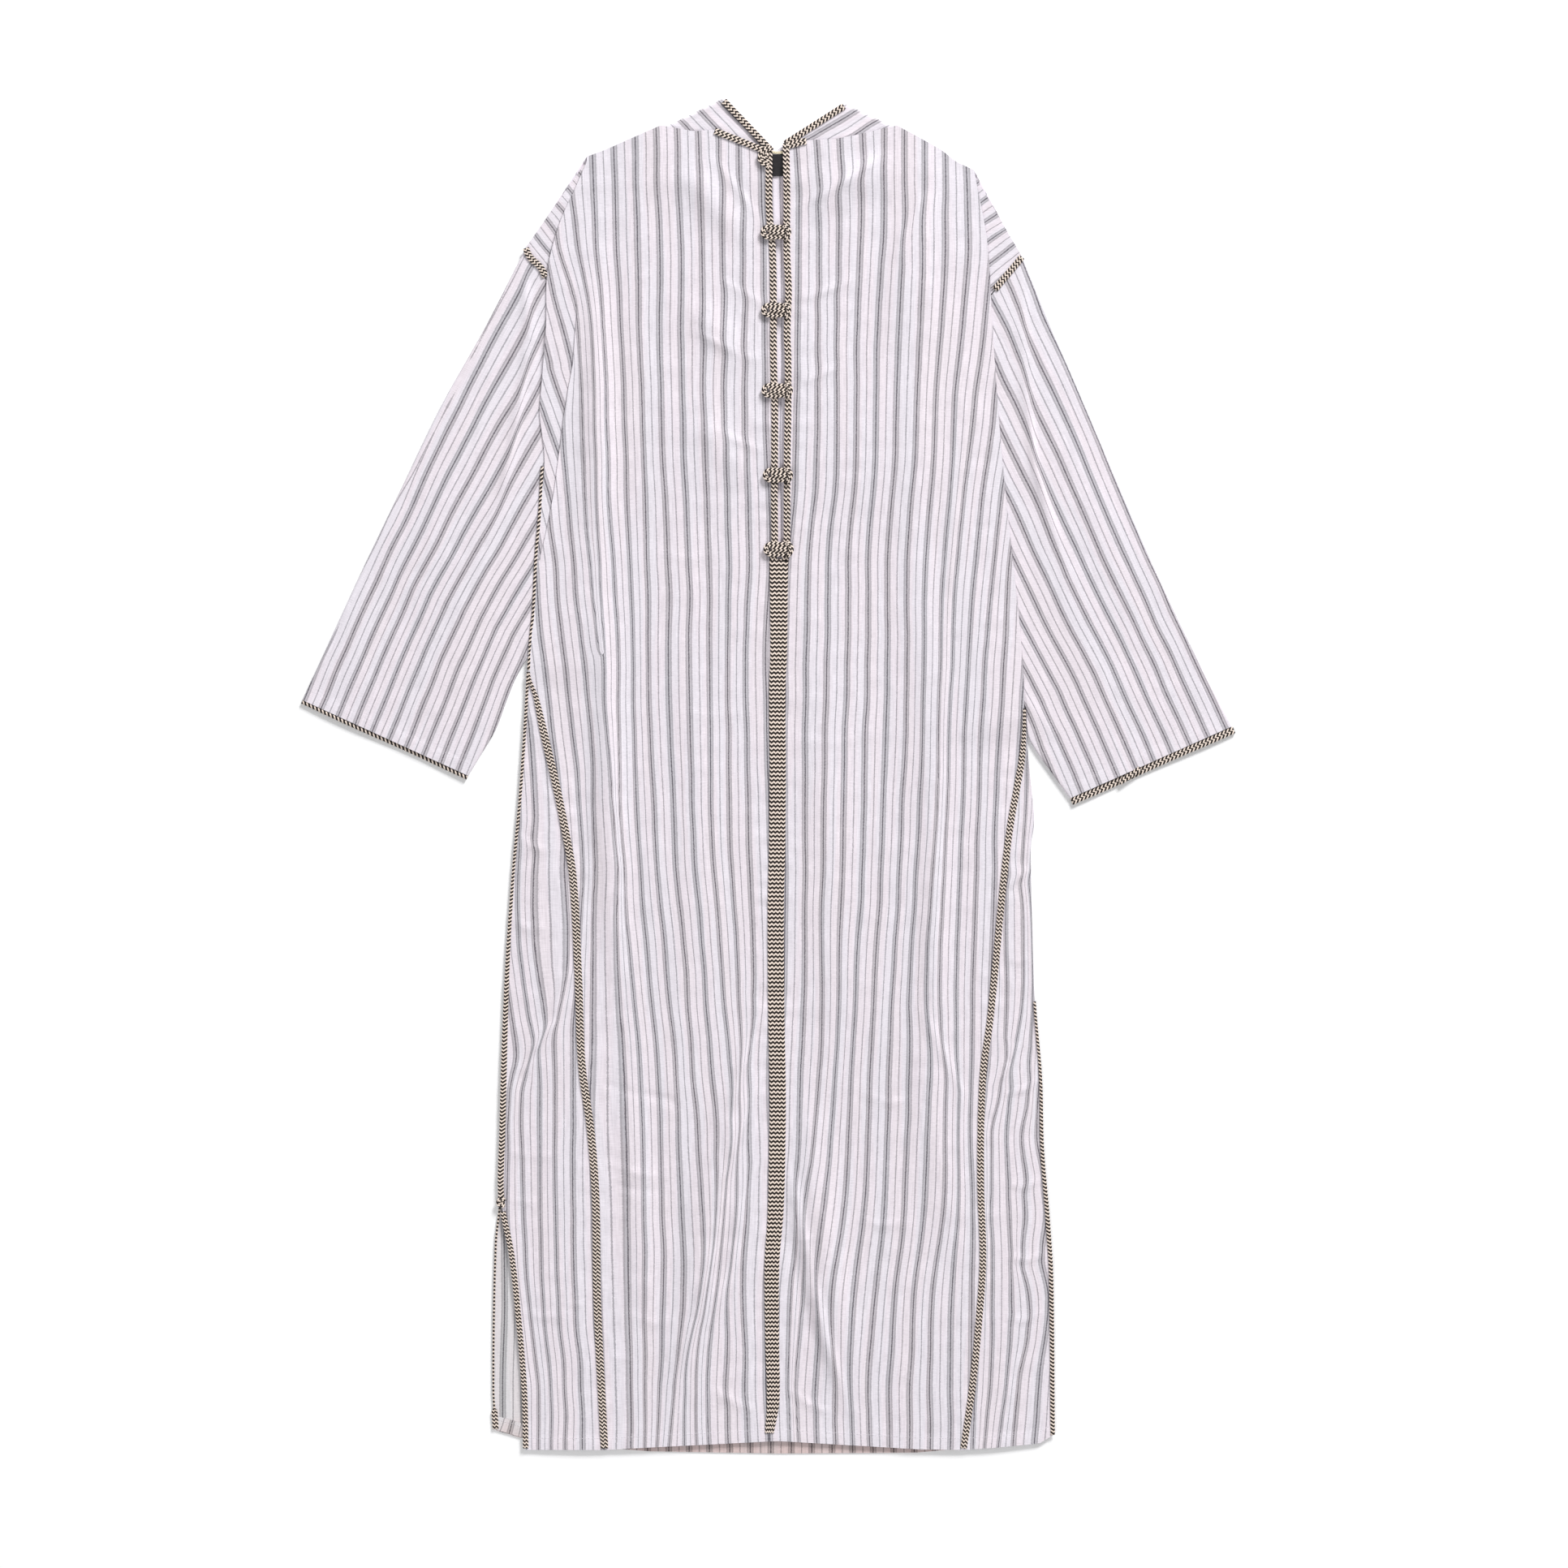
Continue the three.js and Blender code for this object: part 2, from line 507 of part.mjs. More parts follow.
// A back gore, from the points of the back's own edge out to the side.
function backGoreGrid(side) {
  const edge = backGrid().map((row) => (side.outward < 0 ? row[0] : row.at(-1)));
  return edge.filter(([, y]) => y < side.underarmY - 4).map(([seam, y]) => spread(0, 1, 3).map((u) => {
    const across = (at) => mix(seam + side.outward * GAP, curveAt(side.backOutline, 'y', at, 'x'), u);
    const drop = lineAt(BACK_HEM, 'x', across(y), 'y') - lineAt(BACK_HEM, 'x', seam, 'y');
    const at = y + drop * smooth((-590 - y) / 115);
    return [across(at), at];
  }));
}

// The dropped shoulder that shows beyond the front's pleat, down to the armhole seam.
function capGrid(side) {
  const [top, turn] = side.armhole;
  const corner = side.cut[0];
  const count = 6;
  return spread(0, 1, count).map((v) => {
    const outer = [mix(corner.x, top.x, v) , mix(corner.y - 4, top.y + 0.6, v)];
    const innerY = mix(side.capInner[0].y, turn.y + 0.6, v);
    const inner = [lineAt(side.capInner, 'y', innerY, 'x'), innerY];
    return spread(0, 1, 3).map((u) => [mix(outer[0], inner[0], u), mix(outer[1], inner[1], u)]);
  });
}

// ---------------------------------------------------------------- sleeves

// A place on the sleeve: s runs from the top fold to the lower seam, t from the armhole to the cuff.
// It is the Coons patch of the four edges.
function sleevePlace(side, s, t) {
  const [top, turn, low] = side.armhole;
  const bend = turnShare(side);
  const start = s < bend
    ? [mix(top.x, turn.x, s / bend), mix(top.y, turn.y, s / bend)]
    : [mix(turn.x, low.x, (s - bend) / (1 - bend)), mix(turn.y, low.y, (s - bend) / (1 - bend))];
  const cuffTop = side.sleeveTop.at(-1);
  const cuffLow = side.sleeveLow.at(-1);
  const highY = mix(top.y, cuffTop.y, t);
  const lowY = mix(low.y, cuffLow.y, t);
  const high = [curveAt(side.sleeveTop, 'y', highY, 'x'), highY];
  const under = [curveAt(side.sleeveLow, 'y', lowY, 'x'), lowY];
  return ['x', 'y'].map((axis, k) => {
    const end = mix(cuffTop[axis], cuffLow[axis], s);
    const corners = mix(mix(top[axis], low[axis], s), mix(cuffTop[axis], cuffLow[axis], s), t);
    return mix(start[k], end, t) + mix(high[k], under[k], s) - corners;
  });
}

function turnShare(side) {
  const [top, turn, low] = side.armhole;
  const first = Math.hypot(turn.x - top.x, turn.y - top.y);
  return first / (first + Math.hypot(low.x - turn.x, low.y - turn.y));
}

// A flattened tube: rings of an upper and a lower layer with a thin hollow, blunt at both folds.
// ring(s, t) gives the place, and rise(place) the height that folds add to the upper layer.
function flatTube(name, stations, across, ring, rise, lift, look) {
  const edge = 0.008;
  const inner = [edge, 2 * edge, ...across.slice(1, -1), 1 - 2 * edge, 1 - edge];
  const outer = [0, edge, ...across.slice(1, -1), 1 - edge, 1];
  const layer = (list, t, fromEdge, fromFace) => {
    const last = list.length - 1;
    const upper = list.map((s, i) => {
      const place = ring(s, t);
      const blunt = i === 0 || i === last;
      const z = blunt ? SLEEVE_THICK - fromEdge : SLEEVE_THICK - fromFace + rise(place);
      return [...place, z + lift];
    });
    const lower = list.map((s, i) => [...ring(s, t), (i === 0 || i === last ? fromEdge : fromFace) + lift]);
    return upper.concat(lower.reverse());
  };
  const outside = stations.map((t) => layer(outer, t, 0.9, 0));
  const inside = stations.map((t) => layer(inner, t, 1.5, WALL));
  const count = outside[0].length;
  const shift = outside.length * count;
  const inward = skin(inside, shift).map(([a, b, c]) => [a, c, b]);
  const faces = skin(outside, 0).concat(inward);
  const close = (a, turned) => {
    for (let j = 0; j < count; j += 1) {
      const k = (j + 1) % count;
      const quads = [[a + j, a + k, a + k + shift], [a + j, a + k + shift, a + j + shift]];
      quads.forEach(([p, q, r]) => faces.push(turned ? [p, q, r] : [p, r, q]));
    }
  };
  close(0, false);
  close((stations.length - 1) * count, true);
  const points = outside.flat().concat(inside.flat());
  return meshOf(name, points, outward(points, faces), look);
}

function sleeve(side) {
  const across = [...spread(0, turnShare(side), 3), ...spread(turnShare(side), 1, 8).slice(1)];
  const clear = 1.1 / 500; // starts this share of its length off the armhole
  const rise = ([x, y]) => ridges(SLEEVE_FOLDS, x, y);
  const ring = (s, t) => sleevePlace(side, s, t);
  return flatTube(`sleeve_${side.name}`, spread(clear, 1, 10), across, ring, rise, 0, CLOTH);
}

// The braid round the cuff, past the end of the sleeve.
function cuffBraid(side) {
  const top = side.sleeveTop.at(-1);
  const low = side.sleeveLow.at(-1);
  const run = Math.hypot(low.x - top.x, low.y - top.y);
  const away = [(side.outward * (top.y - low.y)) / run, (-side.outward * (top.x - low.x)) / run];
  const ring = (s, t) => [mix(top.x, low.x, s) + away[0] * t, mix(top.y, low.y, s) + away[1] * t];
  const reach = [GAP, side.cuffBraid];
  return flatTube(`cuff_braid_${side.name}`, reach, spread(0, 1, 5), ring, () => 0, 0.2, BRAID);
}

// ---------------------------------------------------------------- hood

// Half of the hood: a flap that shows above the neck seam, round its upper edge and down behind the
// back, where the hidden layers are one slab with a rounded lower edge. Sections stand along Y.
function hood(side) {
  const start = side.hoodTop[0].x;
  const finish = side.hoodTop.at(-1).x;
  const tip = side.hoodTop[1].x;
  const places = [...spread(start, tip, 5), ...spread(tip, finish, 5).slice(1)];
  const topZ = FLAP_UNDER + WALL;
  const round = topZ / 2;
  const loops = places.map((x) => {
    const top = lineAt(side.hoodTop, 'x', x, 'y');
    const low = curveAt(side.hoodLow, 'x', x, 'y');
    const tuck = Math.min(lineAt(side.neckline, 'x', x, 'y'), top) - 8;
    const turn = [-90, -54, -18, 18, 54, 90].map((angle) => {
      const a = THREE.MathUtils.degToRad(-angle);
      return [x, top - round + round * Math.cos(a), round + round * Math.sin(a)];
    });
    return [
      [x, tuck, FLAP_UNDER], [x, tuck, topZ], ...turn,
      [x, low + 2, 0], [x, low, HOOD_THICK / 2], [x, low + 2, HOOD_THICK],
      [x, top - round - 2, HOOD_THICK], [x, top - round + 0.6, HOOD_THICK + 0.6],
      [x, top - round + 0.6, FLAP_UNDER - 0.6], [x, top - round - 2, FLAP_UNDER],
    ];
  });
  return loft(`hood_${side.name}`, loops, ([, y, z]) => [y, z], CLOTH);
}

// ---------------------------------------------------------------- trims

const onFront = (x, y) => frontUnder(x, y) + WALL + GAP;
const onFlap = () => FLAP_UNDER + WALL + GAP;
const onBack = (x, y) => hoodBed(x, y) + WALL + GAP;
const onCap = () => FRONT_REST + WALL + GAP + 0.5;

// The braids narrow where they are drawn together towards the hem.
function bandWidth(y) {
  return y > SLIT_END ? BRAID_WIDE : lineAt(CENTRE_SEAM, 'y', y, 'wide');
}

// The braids of the placket: one along each edge of the slit, then side by side down the seam.
function placketBraid(side) {
  const rows = [...spread(648, 250, 14), ...spread(238, SLIT_END, 2), ...spread(200, -688, 22)];
  const path = rows.map((y) => [slitPlace(side, y, bandWidth(Math.min(y, SLIT_END)) + GAP), y]);
  return strip(`placket_braid_${side.name}`, path, bandWidth, onFront, BRAID);
}

function middleBraid() {
  const path = [SLIT_END - 2, ...spread(200, -688, 22)].map((y) => [curveAt(CENTRE_SEAM, 'y', y, 'x'), y]);
  return strip('placket_braid_middle', path, bandWidth, onFront, BRAID);
}

// A braid along the gore seam, on the rows of the panels that it covers.
function goreBraid(side) {
  const rows = frontGrid(side).map((row) => row.at(-1)).filter(([, y]) => y < side.underarmY + 1);
  const path = rows.map(([x, y]) => [x + side.outward * SEAM, y]);
  return strip(`gore_braid_${side.name}`, path, BRAID_WIDE + 0.6, onFront, BRAID);
}

function edgeBraid(name, table, from, to, steps, under) {
  const path = spread(from, to, steps).map((y) => [curveAt(table, 'y', y, 'x'), y]);
  return strip(name, path, BRAID_WIDE, under, BRAID);
}

function armholeBraid(side) {
  const [top, turn] = side.armhole;
  const shown = side.outward < 0 ? 0.52 : 0.6;
  const path = spread(0.02, shown, 3).map((t) => [mix(top.x, turn.x, t), mix(top.y, turn.y, t)]);
  return strip(`armhole_braid_${side.name}`, path, BRAID_WIDE, onCap, BRAID);
}

function hoodBraid(side) {
  const tip = side.hoodTop[1];
  const low = side.hoodTop[2];
  const path = spread(0.02, 0.86, 6).map((t) => [mix(tip.x, low.x, t), mix(tip.y, low.y, t) - 3.4]);
  return strip(`hood_braid_${side.name}`, path, BRAID_WIDE, onFlap, BRAID);
}

function neckBraid(side, from, to) {
  const path = spread(from, to, 6).map((x) => [x, lineAt(side.neckline, 'x', x, 'y') - 1]);
  return strip(`neck_braid_${side.name}`, path, BRAID_WIDE, onFront, BRAID);
}

// A knot of the braid: a flattened ball with the swells of the turns.
function knot(name, { x, y }, { wide, tall, thick, rise }) {
  const ball = new THREE.SphereGeometry(1, 12, 7);
  const places = ball.getAttribute('position');
  const base = frontUnder(x, y) + WALL + GAP + BRAID_EASE + BRAID_THICK + rise;
  for (let i = 0; i < places.count; i += 1) {
    const p = new THREE.Vector3().fromBufferAttribute(places, i);
    const swell = 1 - 0.1 * Math.abs(Math.sin(1.5 * Math.PI * p.x));
    const height = (p.y * swell * thick) / 2 + thick / 2 + base;
    places.setXYZ(i, x + (p.x * wide) / 2, y - (p.z * tall * swell) / 2, height);
  }
  const mesh = new THREE.Mesh(ball, new THREE.MeshStandardMaterial(BRAID));
  mesh.name = name;
  return mesh;
}

// The blank label hangs from the back neck, over the hood's seam allowance and onto the back.
function label() {
  const grid = [649.2, 643, 635, 628].map((y) => [3.4, 10.6, 17.8].map((x) => [x, y]));
  const under = (x, y) => (y > 640 ? onFlap() : onBack(x, y)) + LABEL_EASE;
  return sheet('neck_label', grid, under, LABEL_THICK, LABEL);
}

// ---------------------------------------------------------------- the robe

const robe = new THREE.Group();
robe.name = 'pullover_robe';

robe.add(sheet('back', backGrid(), hoodBed, WALL, INSIDE));
[LEFT, RIGHT].forEach((side) => {
  robe.add(sheet(`front_${side.name}`, frontGrid(side), frontUnder, WALL, CLOTH));
  robe.add(sheet(`gore_front_${side.name}`, frontGoreGrid(side), frontUnder, WALL, CLOTH));
  robe.add(sheet(`gore_back_${side.name}`, backGoreGrid(side), hoodBed, WALL, INSIDE));
  robe.add(sheet(`shoulder_${side.name}`, capGrid(side), () => FRONT_REST, WALL, CLOTH));
  robe.add(sleeve(side));
  robe.add(cuffBraid(side));
  robe.add(hood(side));
  robe.add(hoodBraid(side));
  robe.add(placketBraid(side));
  robe.add(goreBraid(side));
  robe.add(armholeBraid(side));
});
robe.add(middleBraid());
robe.add(neckBraid(LEFT, -56, -12));
robe.add(neckBraid(RIGHT, 24, 40));
robe.add(edgeBraid('side_braid_left', LEFT.outline, 50, -450, 16, onFront));
robe.add(edgeBraid('side_braid_right', RIGHT.outline, -236, -686, 14, onFront));
robe.add(edgeBraid('slit_braid_front', LEFT.outline, -468, -702, 8, onFront));
robe.add(edgeBraid('slit_braid_back', LEFT.backOutline, -456, -682, 8, onBack));
robe.add(strip('back_neck_braid', [[3.2, 652.5], [10, 652], [17, 652.8]], 4, onFlap, BRAID, 1));
robe.add(label());
KNOTS.forEach((place, i) => robe.add(knot(`knot_${i + 1}`, place, KNOT_SIZE)));
robe.add(knot('knot_neck', NECK_KNOT, NECK_KNOT));
robe.add(knot('knot_slit', SLIT_KNOT, SLIT_KNOT));

export default robe;
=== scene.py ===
"""A hooded pullover robe of striped cotton with braided edges, laid flat on its back.

Every surface is worked out in millimetres in the frame's own axes, and goes into its mesh in metres.
"""

import math
from types import SimpleNamespace

import bpy
import numpy as np
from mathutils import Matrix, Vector


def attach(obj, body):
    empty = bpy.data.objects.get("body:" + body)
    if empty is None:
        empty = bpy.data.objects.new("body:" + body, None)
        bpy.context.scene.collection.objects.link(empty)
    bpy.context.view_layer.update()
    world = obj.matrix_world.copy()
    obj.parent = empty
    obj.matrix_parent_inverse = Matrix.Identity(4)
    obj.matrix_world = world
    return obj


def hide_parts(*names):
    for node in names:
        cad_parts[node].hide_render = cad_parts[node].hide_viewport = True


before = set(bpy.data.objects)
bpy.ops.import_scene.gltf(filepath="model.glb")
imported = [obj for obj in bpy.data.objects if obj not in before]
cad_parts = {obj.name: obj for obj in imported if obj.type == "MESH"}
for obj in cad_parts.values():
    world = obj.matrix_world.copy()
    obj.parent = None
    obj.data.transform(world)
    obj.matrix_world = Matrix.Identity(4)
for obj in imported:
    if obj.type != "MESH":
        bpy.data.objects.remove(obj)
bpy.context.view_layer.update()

# ---------------------------------------------------------------- driving sizes, in millimetres

MM = 0.001
CLOTH_THICK = 0.7
FINE = 3.0  # spacing of a panel's points
COARSE = 6.0  # and of those on a panel that is mostly hidden
REPEAT = 21.5  # from one dark stripe to the next

# How the layers lie on each other, as they do in the solids.
WALL = 1.2
GAP = 0.3
SKIN_UP = 0.3  # the cloth's underside, above the underside of its solid
BACK_REST = 0.05
FRONT_REST = WALL + GAP
HOOD_THICK = 2.4  # the hood's hidden layers, as one
HOOD_RISE = HOOD_THICK + GAP
FLAP_UNDER = HOOD_RISE + FRONT_REST
FLAP_RISE = WALL + GAP
HOOD_MARGIN = 25  # the lift is whole this far past the hood
HOOD_FADE = 32  # and dies out over this to the sides
HOOD_FADE_LOW = 140  # and over this toward the hem
SLEEVE_THICK = 3.4
SIDE_LIFT = SLEEVE_THICK + GAP - FRONT_REST
LIFT_REACH = 40  # the front's lift over the sleeve is whole this far in from its edge
LIFT_FADE = 70
UNDERARM_FADE = 33
CROWN = 0.8  # how proud the middle of the front stands
CROWN_FADE = 60
CALM_EDGE = 12  # the folds are kept this far from a braid or an edge
CALM_FADE = 24
SEAM = GAP / 2
MIDDLE_X = 10

BRAID_WIDE = 6.6
BRAID_HIGH = 1.9
PLAIT = 4.5  # length of one light and one dark strand along a braid
PLAIT_STEP = PLAIT / 6
PLAIT_SLANT = 0.8  # how far a strand runs along the braid for each millimetre that it leans
SEAM_PLAIT = 3.9  # a plait's length on the seams, where the braid is drawn tighter

HEM_STITCH = 12  # the stitching's distance from the edge
HEM_DEEP = 15.5  # how far the back's hem is turned up
HEM_THICK = 0.6

# ---------------------------------------------------------------- outlines: (y, x) rows, or (x, y) if said

# The two sides of the robe. away is the way out from the middle, corner is the top of the cut on the
# shoulder, and lift is where the front comes down off the sleeve.
LEFT = SimpleNamespace(
    name="left",
    away=-1,
    corner=648,
    underarm=108.8,
    lift=118,
    cut=[
        (648, -190), (620, -202), (589, -215.5), (556, -225.7), (523, -231.6), (473, -232.5), (405, -237.6),
        (381, -239.3), (331, -234.2), (270, -240), (178, -246), (108.8, -251.2), (80.8, -242.7),
        (42.5, -234.2), (-4.3, -223.1), (-49.3, -213.8), (-105.4, -204.4), (-213.4, -198.5), (-301.8, -195),
        (-371.5, -185.7), (-440.3, -180.6), (-548.3, -178.9), (-703.8, -171.3),
    ],
    outline=[
        (108.8, -251.2), (49.3, -254.6), (-23.8, -259.7), (-97.8, -266.5), (-207.4, -273.3),
        (-377.4, -278.4), (-443.7, -279.2), (-498.1, -269), (-548.3, -263.1), (-639.2, -255.4),
        (-705.5, -253.7),
    ],
    back_outline=[
        (108.8, -251.2), (49.3, -254.6), (-23.8, -259.7), (-97.8, -266.5), (-207.4, -273.3),
        (-377.4, -278.4), (-443.7, -280.4), (-491.3, -285.2), (-639.2, -287.7), (-685, -285.2),
    ],
    armhole=[(-253.7, 552.5), (-217, 498), (-240, 135)],  # (x, y)
    sleeve_top=[
        (552.5, -253.7), (472.6, -294.5), (387.6, -342), (302.6, -383), (217.6, -423.7), (132.6, -462.8),
        (79.3, -487.5),
    ],
    sleeve_low=[
        (135, -240), (124.1, -251.2), (102.9, -263.9), (79.9, -273.3), (48.5, -285.2), (21.3, -301.3),
        (0.2, -314.1),
    ],
    neckline=[  # (x, y)
        (1, 653), (-20, 661.5), (-56.5, 676), (-78, 674.5), (-112, 680.5), (-142, 667.5), (-173, 654),
        (-190, 648),
    ],
    slit=[
        (650, 0.9), (600, 0.9), (580, 2), (549, 4.7), (507, 5.5), (439, 5.7), (379, 7), (300, 6.6), (240, 7),
    ],
    cap_inner=[(641, -184), (600, -192), (560, -203), (498, -217)],
    hood_top=[(-108, 679), (-46.3, 709.5), (0, 661), (9.7, 655)],  # (x, y)
    hood_low=[(-108, 462), (-92, 430), (-62, 410), (-28, 402), (9.7, 400)],  # (x, y)
)

RIGHT = SimpleNamespace(
    name="right",
    away=1,
    corner=634,
    underarm=70.6,
    lift=60,
    cut=[
        (634, 215.5), (604.4, 221.4), (568.7, 228.2), (534.7, 231.6), (502.4, 233.3), (416.5, 238.4),
        (331.5, 245.2), (255.9, 252.9), (195.5, 259.7), (120.7, 266.5), (70.6, 268.2), (24.7, 266.5),
        (-17, 259.7), (-51, 253.7), (-105.4, 246.9), (-184.5, 239.3), (-254.2, 232.5), (-314.5, 224.8),
        (-419.9, 222.3), (-504.9, 224.8), (-571.2, 220.6), (-639.2, 213.8), (-705.5, 204.4),
    ],
    outline=[
        (70.6, 268.2), (19.5, 272.4), (-23.8, 276.7), (-49.3, 278.4), (-75.7, 275), (-166.6, 276.7),
        (-240.6, 279.2), (-315.4, 285.2), (-391, 286.9), (-466.7, 292.8), (-524.5, 296.2), (-690.2, 297.9),
    ],
    armhole=[(265.6, 543.2), (220, 488), (262, 80)],  # (x, y)
    sleeve_top=[
        (543.2, 265.6), (472.6, 294.5), (387.6, 331), (302.6, 367), (217.6, 404), (132.6, 444),
        (52.1, 486.1),
    ],
    sleeve_low=[
        (80, 262), (75, 267), (69, 269.8), (50, 270.9), (34.9, 275), (1.7, 297.9), (-23.5, 316),
    ],
    neckline=[  # (x, y)
        (19.5, 659.6), (37, 664.7), (71, 666.4), (96.5, 671.5), (134.7, 680.5), (157.7, 668), (182, 654.5),
        (197, 642.6), (215.5, 634),
    ],
    slit=[
        (655, 18.8), (608, 19.6), (549, 19.6), (507, 21.3), (464, 19.8), (439, 20.8), (379, 20.8),
        (337, 20), (240, 19.6),
    ],
    cap_inner=[(628, 208), (590, 213), (545, 217), (488, 220)],
    hood_top=[(131, 680), (79.5, 704), (20, 666), (10, 655)],  # (x, y)
    hood_low=[(131, 462), (115, 430), (84, 410), (48, 402), (10, 400)],  # (x, y)
)
RIGHT.back_outline = RIGHT.outline

SEAM_LINE = [  # the centre seam below the slit
    (222, 11.3), (130, 11), (90, 9.6), (5, 10), (-80, 9.3), (-140, 8), (-250, 8.6), (-335, 10),
    (-420, 9), (-462, 7.6), (-510, 4), (-590, 4.2), (-655, 5.2), (-690, 1),
]
SEAM_BRAID = [  # and the width of each of its three braids
    (222, 6.1), (130, 5.6), (90, 5.4), (-420, 5.4), (-462, 5.2), (-510, 4.9), (-590, 4.6), (-655, 4.2),
    (-690, 2.8),
]
SLIT_END = 222
SLIT_TAPER = 18
HEM = -705
HEM_BLEND = 115  # the rows of a panel bend to the hem's line over this
FRONT_HEM = [  # (x, y)
    (-254, -705.5), (-171, -705.5), (-124, -703), (10, -696.2), (160, -705), (205, -705.5), (241, -703),
    (284, -698.7), (298, -690.2),
]
BACK_HEM = [  # (x, y)
    (-286, -685), (-257, -693.6), (-171, -703.5), (-124, -707.2), (10, -709.4), (156, -708.5),
    (205, -704), (284, -696.5), (298, -689.5),
]
BACK_NECK = [  # (x, y)
    (-190, 648), (-173, 654), (-142, 667.5), (-115, 679), (-104, 664), (-60, 660), (-10, 649.5),
    (30, 649.5), (80, 660), (126, 664), (138, 678.5), (157.7, 668), (182, 654.5), (197, 642.6),
    (215.5, 634),
]

# The broad folds of the front: from (x, y) to (x, y), half width, height.
FOLDS = [
    (-180, 560, -176, 200, 15, 4.2), (-174, 220, -160, -280, 16, 4.6), (-150, -250, -120, -640, 20, 2.6),
    (-96, 640, -22, 560, 17, 3.4), (-88, 500, -20, 430, 16, 3), (-70, 380, -22, 300, 16, 2.4),
    (128, 655, 42, 585, 17, 3.6), (164, 610, 120, 440, 18, 3.2), (150, 320, 176, -60, 17, 3),
    (173, 20, 174, -350, 16, 4.4), (150, -240, 200, -520, 18, 3), (60, 200, 66, -260, 22, 2.8),
    (-76, 150, -70, -230, 22, 2.6), (-26, -250, -100, -660, 19, 5), (34, -330, 86, -660, 19, 5),
]
SLEEVE_FOLDS = [
    (-300, 400, -380, 160, 22, 1.6), (-270, 330, -350, 90, 20, 1.4),
    (300, 390, 390, 130, 22, 1.6), (285, 300, 350, 60, 20, 1.5),
]

# ---------------------------------------------------------------- how the stripes lie

# Each line is a dark stripe: its number, counted outward from the centre, and its (y, x) places.
LAY_LEFT = [
    (0, [(685, -32), (558, -26), (388, -24), (218, -20), (133, -24), (-37, -21), (-207, -16),
         (-292, -18), (-462, -18), (-547, -24), (-717, -21)]),
    (2, [(685, -73.5), (558, -69), (388, -67.5), (218, -62), (-37, -60), (-122, -54), (-207, -49),
         (-292, -42), (-377, -41), (-462, -46), (-547, -53), (-632, -62.5), (-717, -63)]),
    (4, [(685, -118), (558, -113.5), (388, -112), (218, -105), (48, -103), (-122, -94), (-207, -85.5),
         (-292, -80), (-462, -73.5), (-547, -75), (-632, -85.5), (-717, -89)]),
    (5, [(685, -140), (558, -136.5), (388, -132), (218, -127), (48, -124), (-122, -114), (-207, -106),
         (-292, -97), (-377, -95.5), (-547, -92), (-632, -97), (-717, -106)]),
    (7, [(685, -185), (558, -180), (473, -172), (303, -168), (218, -162), (133, -157), (-37, -155),
         (-122, -150), (-207, -142.5), (-292, -135.5), (-462, -130.5), (-717, -129)]),
    (8, [(685, -208), (611, -206), (562, -200), (497, -187.5), (464, -183.5), (345, -181.5), (260, -178.4),
         (175, -174.7), (124, -172), (69, -169.8), (-37, -161), (-122, -157), (-207, -156), (-377, -148.5),
         (-717, -143)]),
    (9, [(685, -230), (562, -221.5), (497, -202), (413, -195.8), (345, -193.4), (260, -189), (175, -181),
         (141, -178), (130, -175.6), (124, -172.2), (69, -170), (-37, -161.2), (-122, -157.2),
         (-207, -156.2), (-377, -148.7), (-717, -143.2)]),
    (10, [(685, -248), (575, -237), (497, -223), (439, -208), (405, -212), (371, -215.5), (275, -207),
          (178, -199), (133, -195), (48, -185), (-37, -183), (-207, -183), (-377, -187.5), (-462, -181.5),
          (-717, -174)]),
    (11, [(685, -269), (558, -259), (450, -233), (371, -235), (269, -228), (218, -221.5), (133, -215.5),
          (48, -204.5), (-37, -197), (-122, -194), (-207, -199), (-462, -202), (-717, -192.5)]),
]
LAY_RIGHT = [
    (0, [(685, 49), (558, 54), (388, 51.5), (303, 49), (218, 42), (-37, 38), (-207, 38.5), (-292, 35),
         (-462, 28.5), (-547, 21.5), (-717, 23.5)]),
    (1, [(685, 74.5), (558, 74.5), (388, 71), (303, 70), (218, 63), (48, 60), (-122, 56.5), (-292, 55.5),
         (-377, 48), (-462, 38), (-547, 32.5), (-632, 28.5), (-717, 32)]),
    (3, [(685, 122), (558, 119.5), (473, 115), (303, 110), (218, 105), (48, 102.5), (-122, 98),
         (-207, 92), (-377, 84.5), (-462, 78.5), (-547, 69.5), (-717, 72.5)]),
    (5, [(685, 164.5), (558, 162), (388, 156), (218, 146), (48, 144), (-122, 136.5), (-292, 127),
         (-462, 120.5), (-547, 112), (-632, 106.5), (-717, 106.5)]),
    (7, [(685, 206), (558, 209.5), (473, 203.5), (388, 196), (303, 191), (218, 184), (133, 180.5),
         (-37, 177), (-122, 170.5), (-207, 166), (-292, 168), (-462, 162), (-547, 152.5), (-717, 147.5)]),
    (8, [(685, 229), (558, 234), (473, 227.5), (388, 217), (303, 205.5), (218, 197), (133, 192.5),
         (-37, 186.5), (-207, 179), (-292, 183), (-462, 182.5), (-547, 172), (-717, 169.5)]),
    (10, [(685, 268), (473, 263), (388, 258), (303, 245), (218, 235), (133, 227.5), (-37, 219.5),
          (-207, 214.5), (-547, 214), (-717, 212)]),
    (11, [(685, 290), (473, 285), (388, 278.5), (303, 263), (218, 250.5), (133, 247), (-37, 237.5),
          (-122, 236), (-292, 232.5), (-547, 234), (-717, 231.5)]),
]
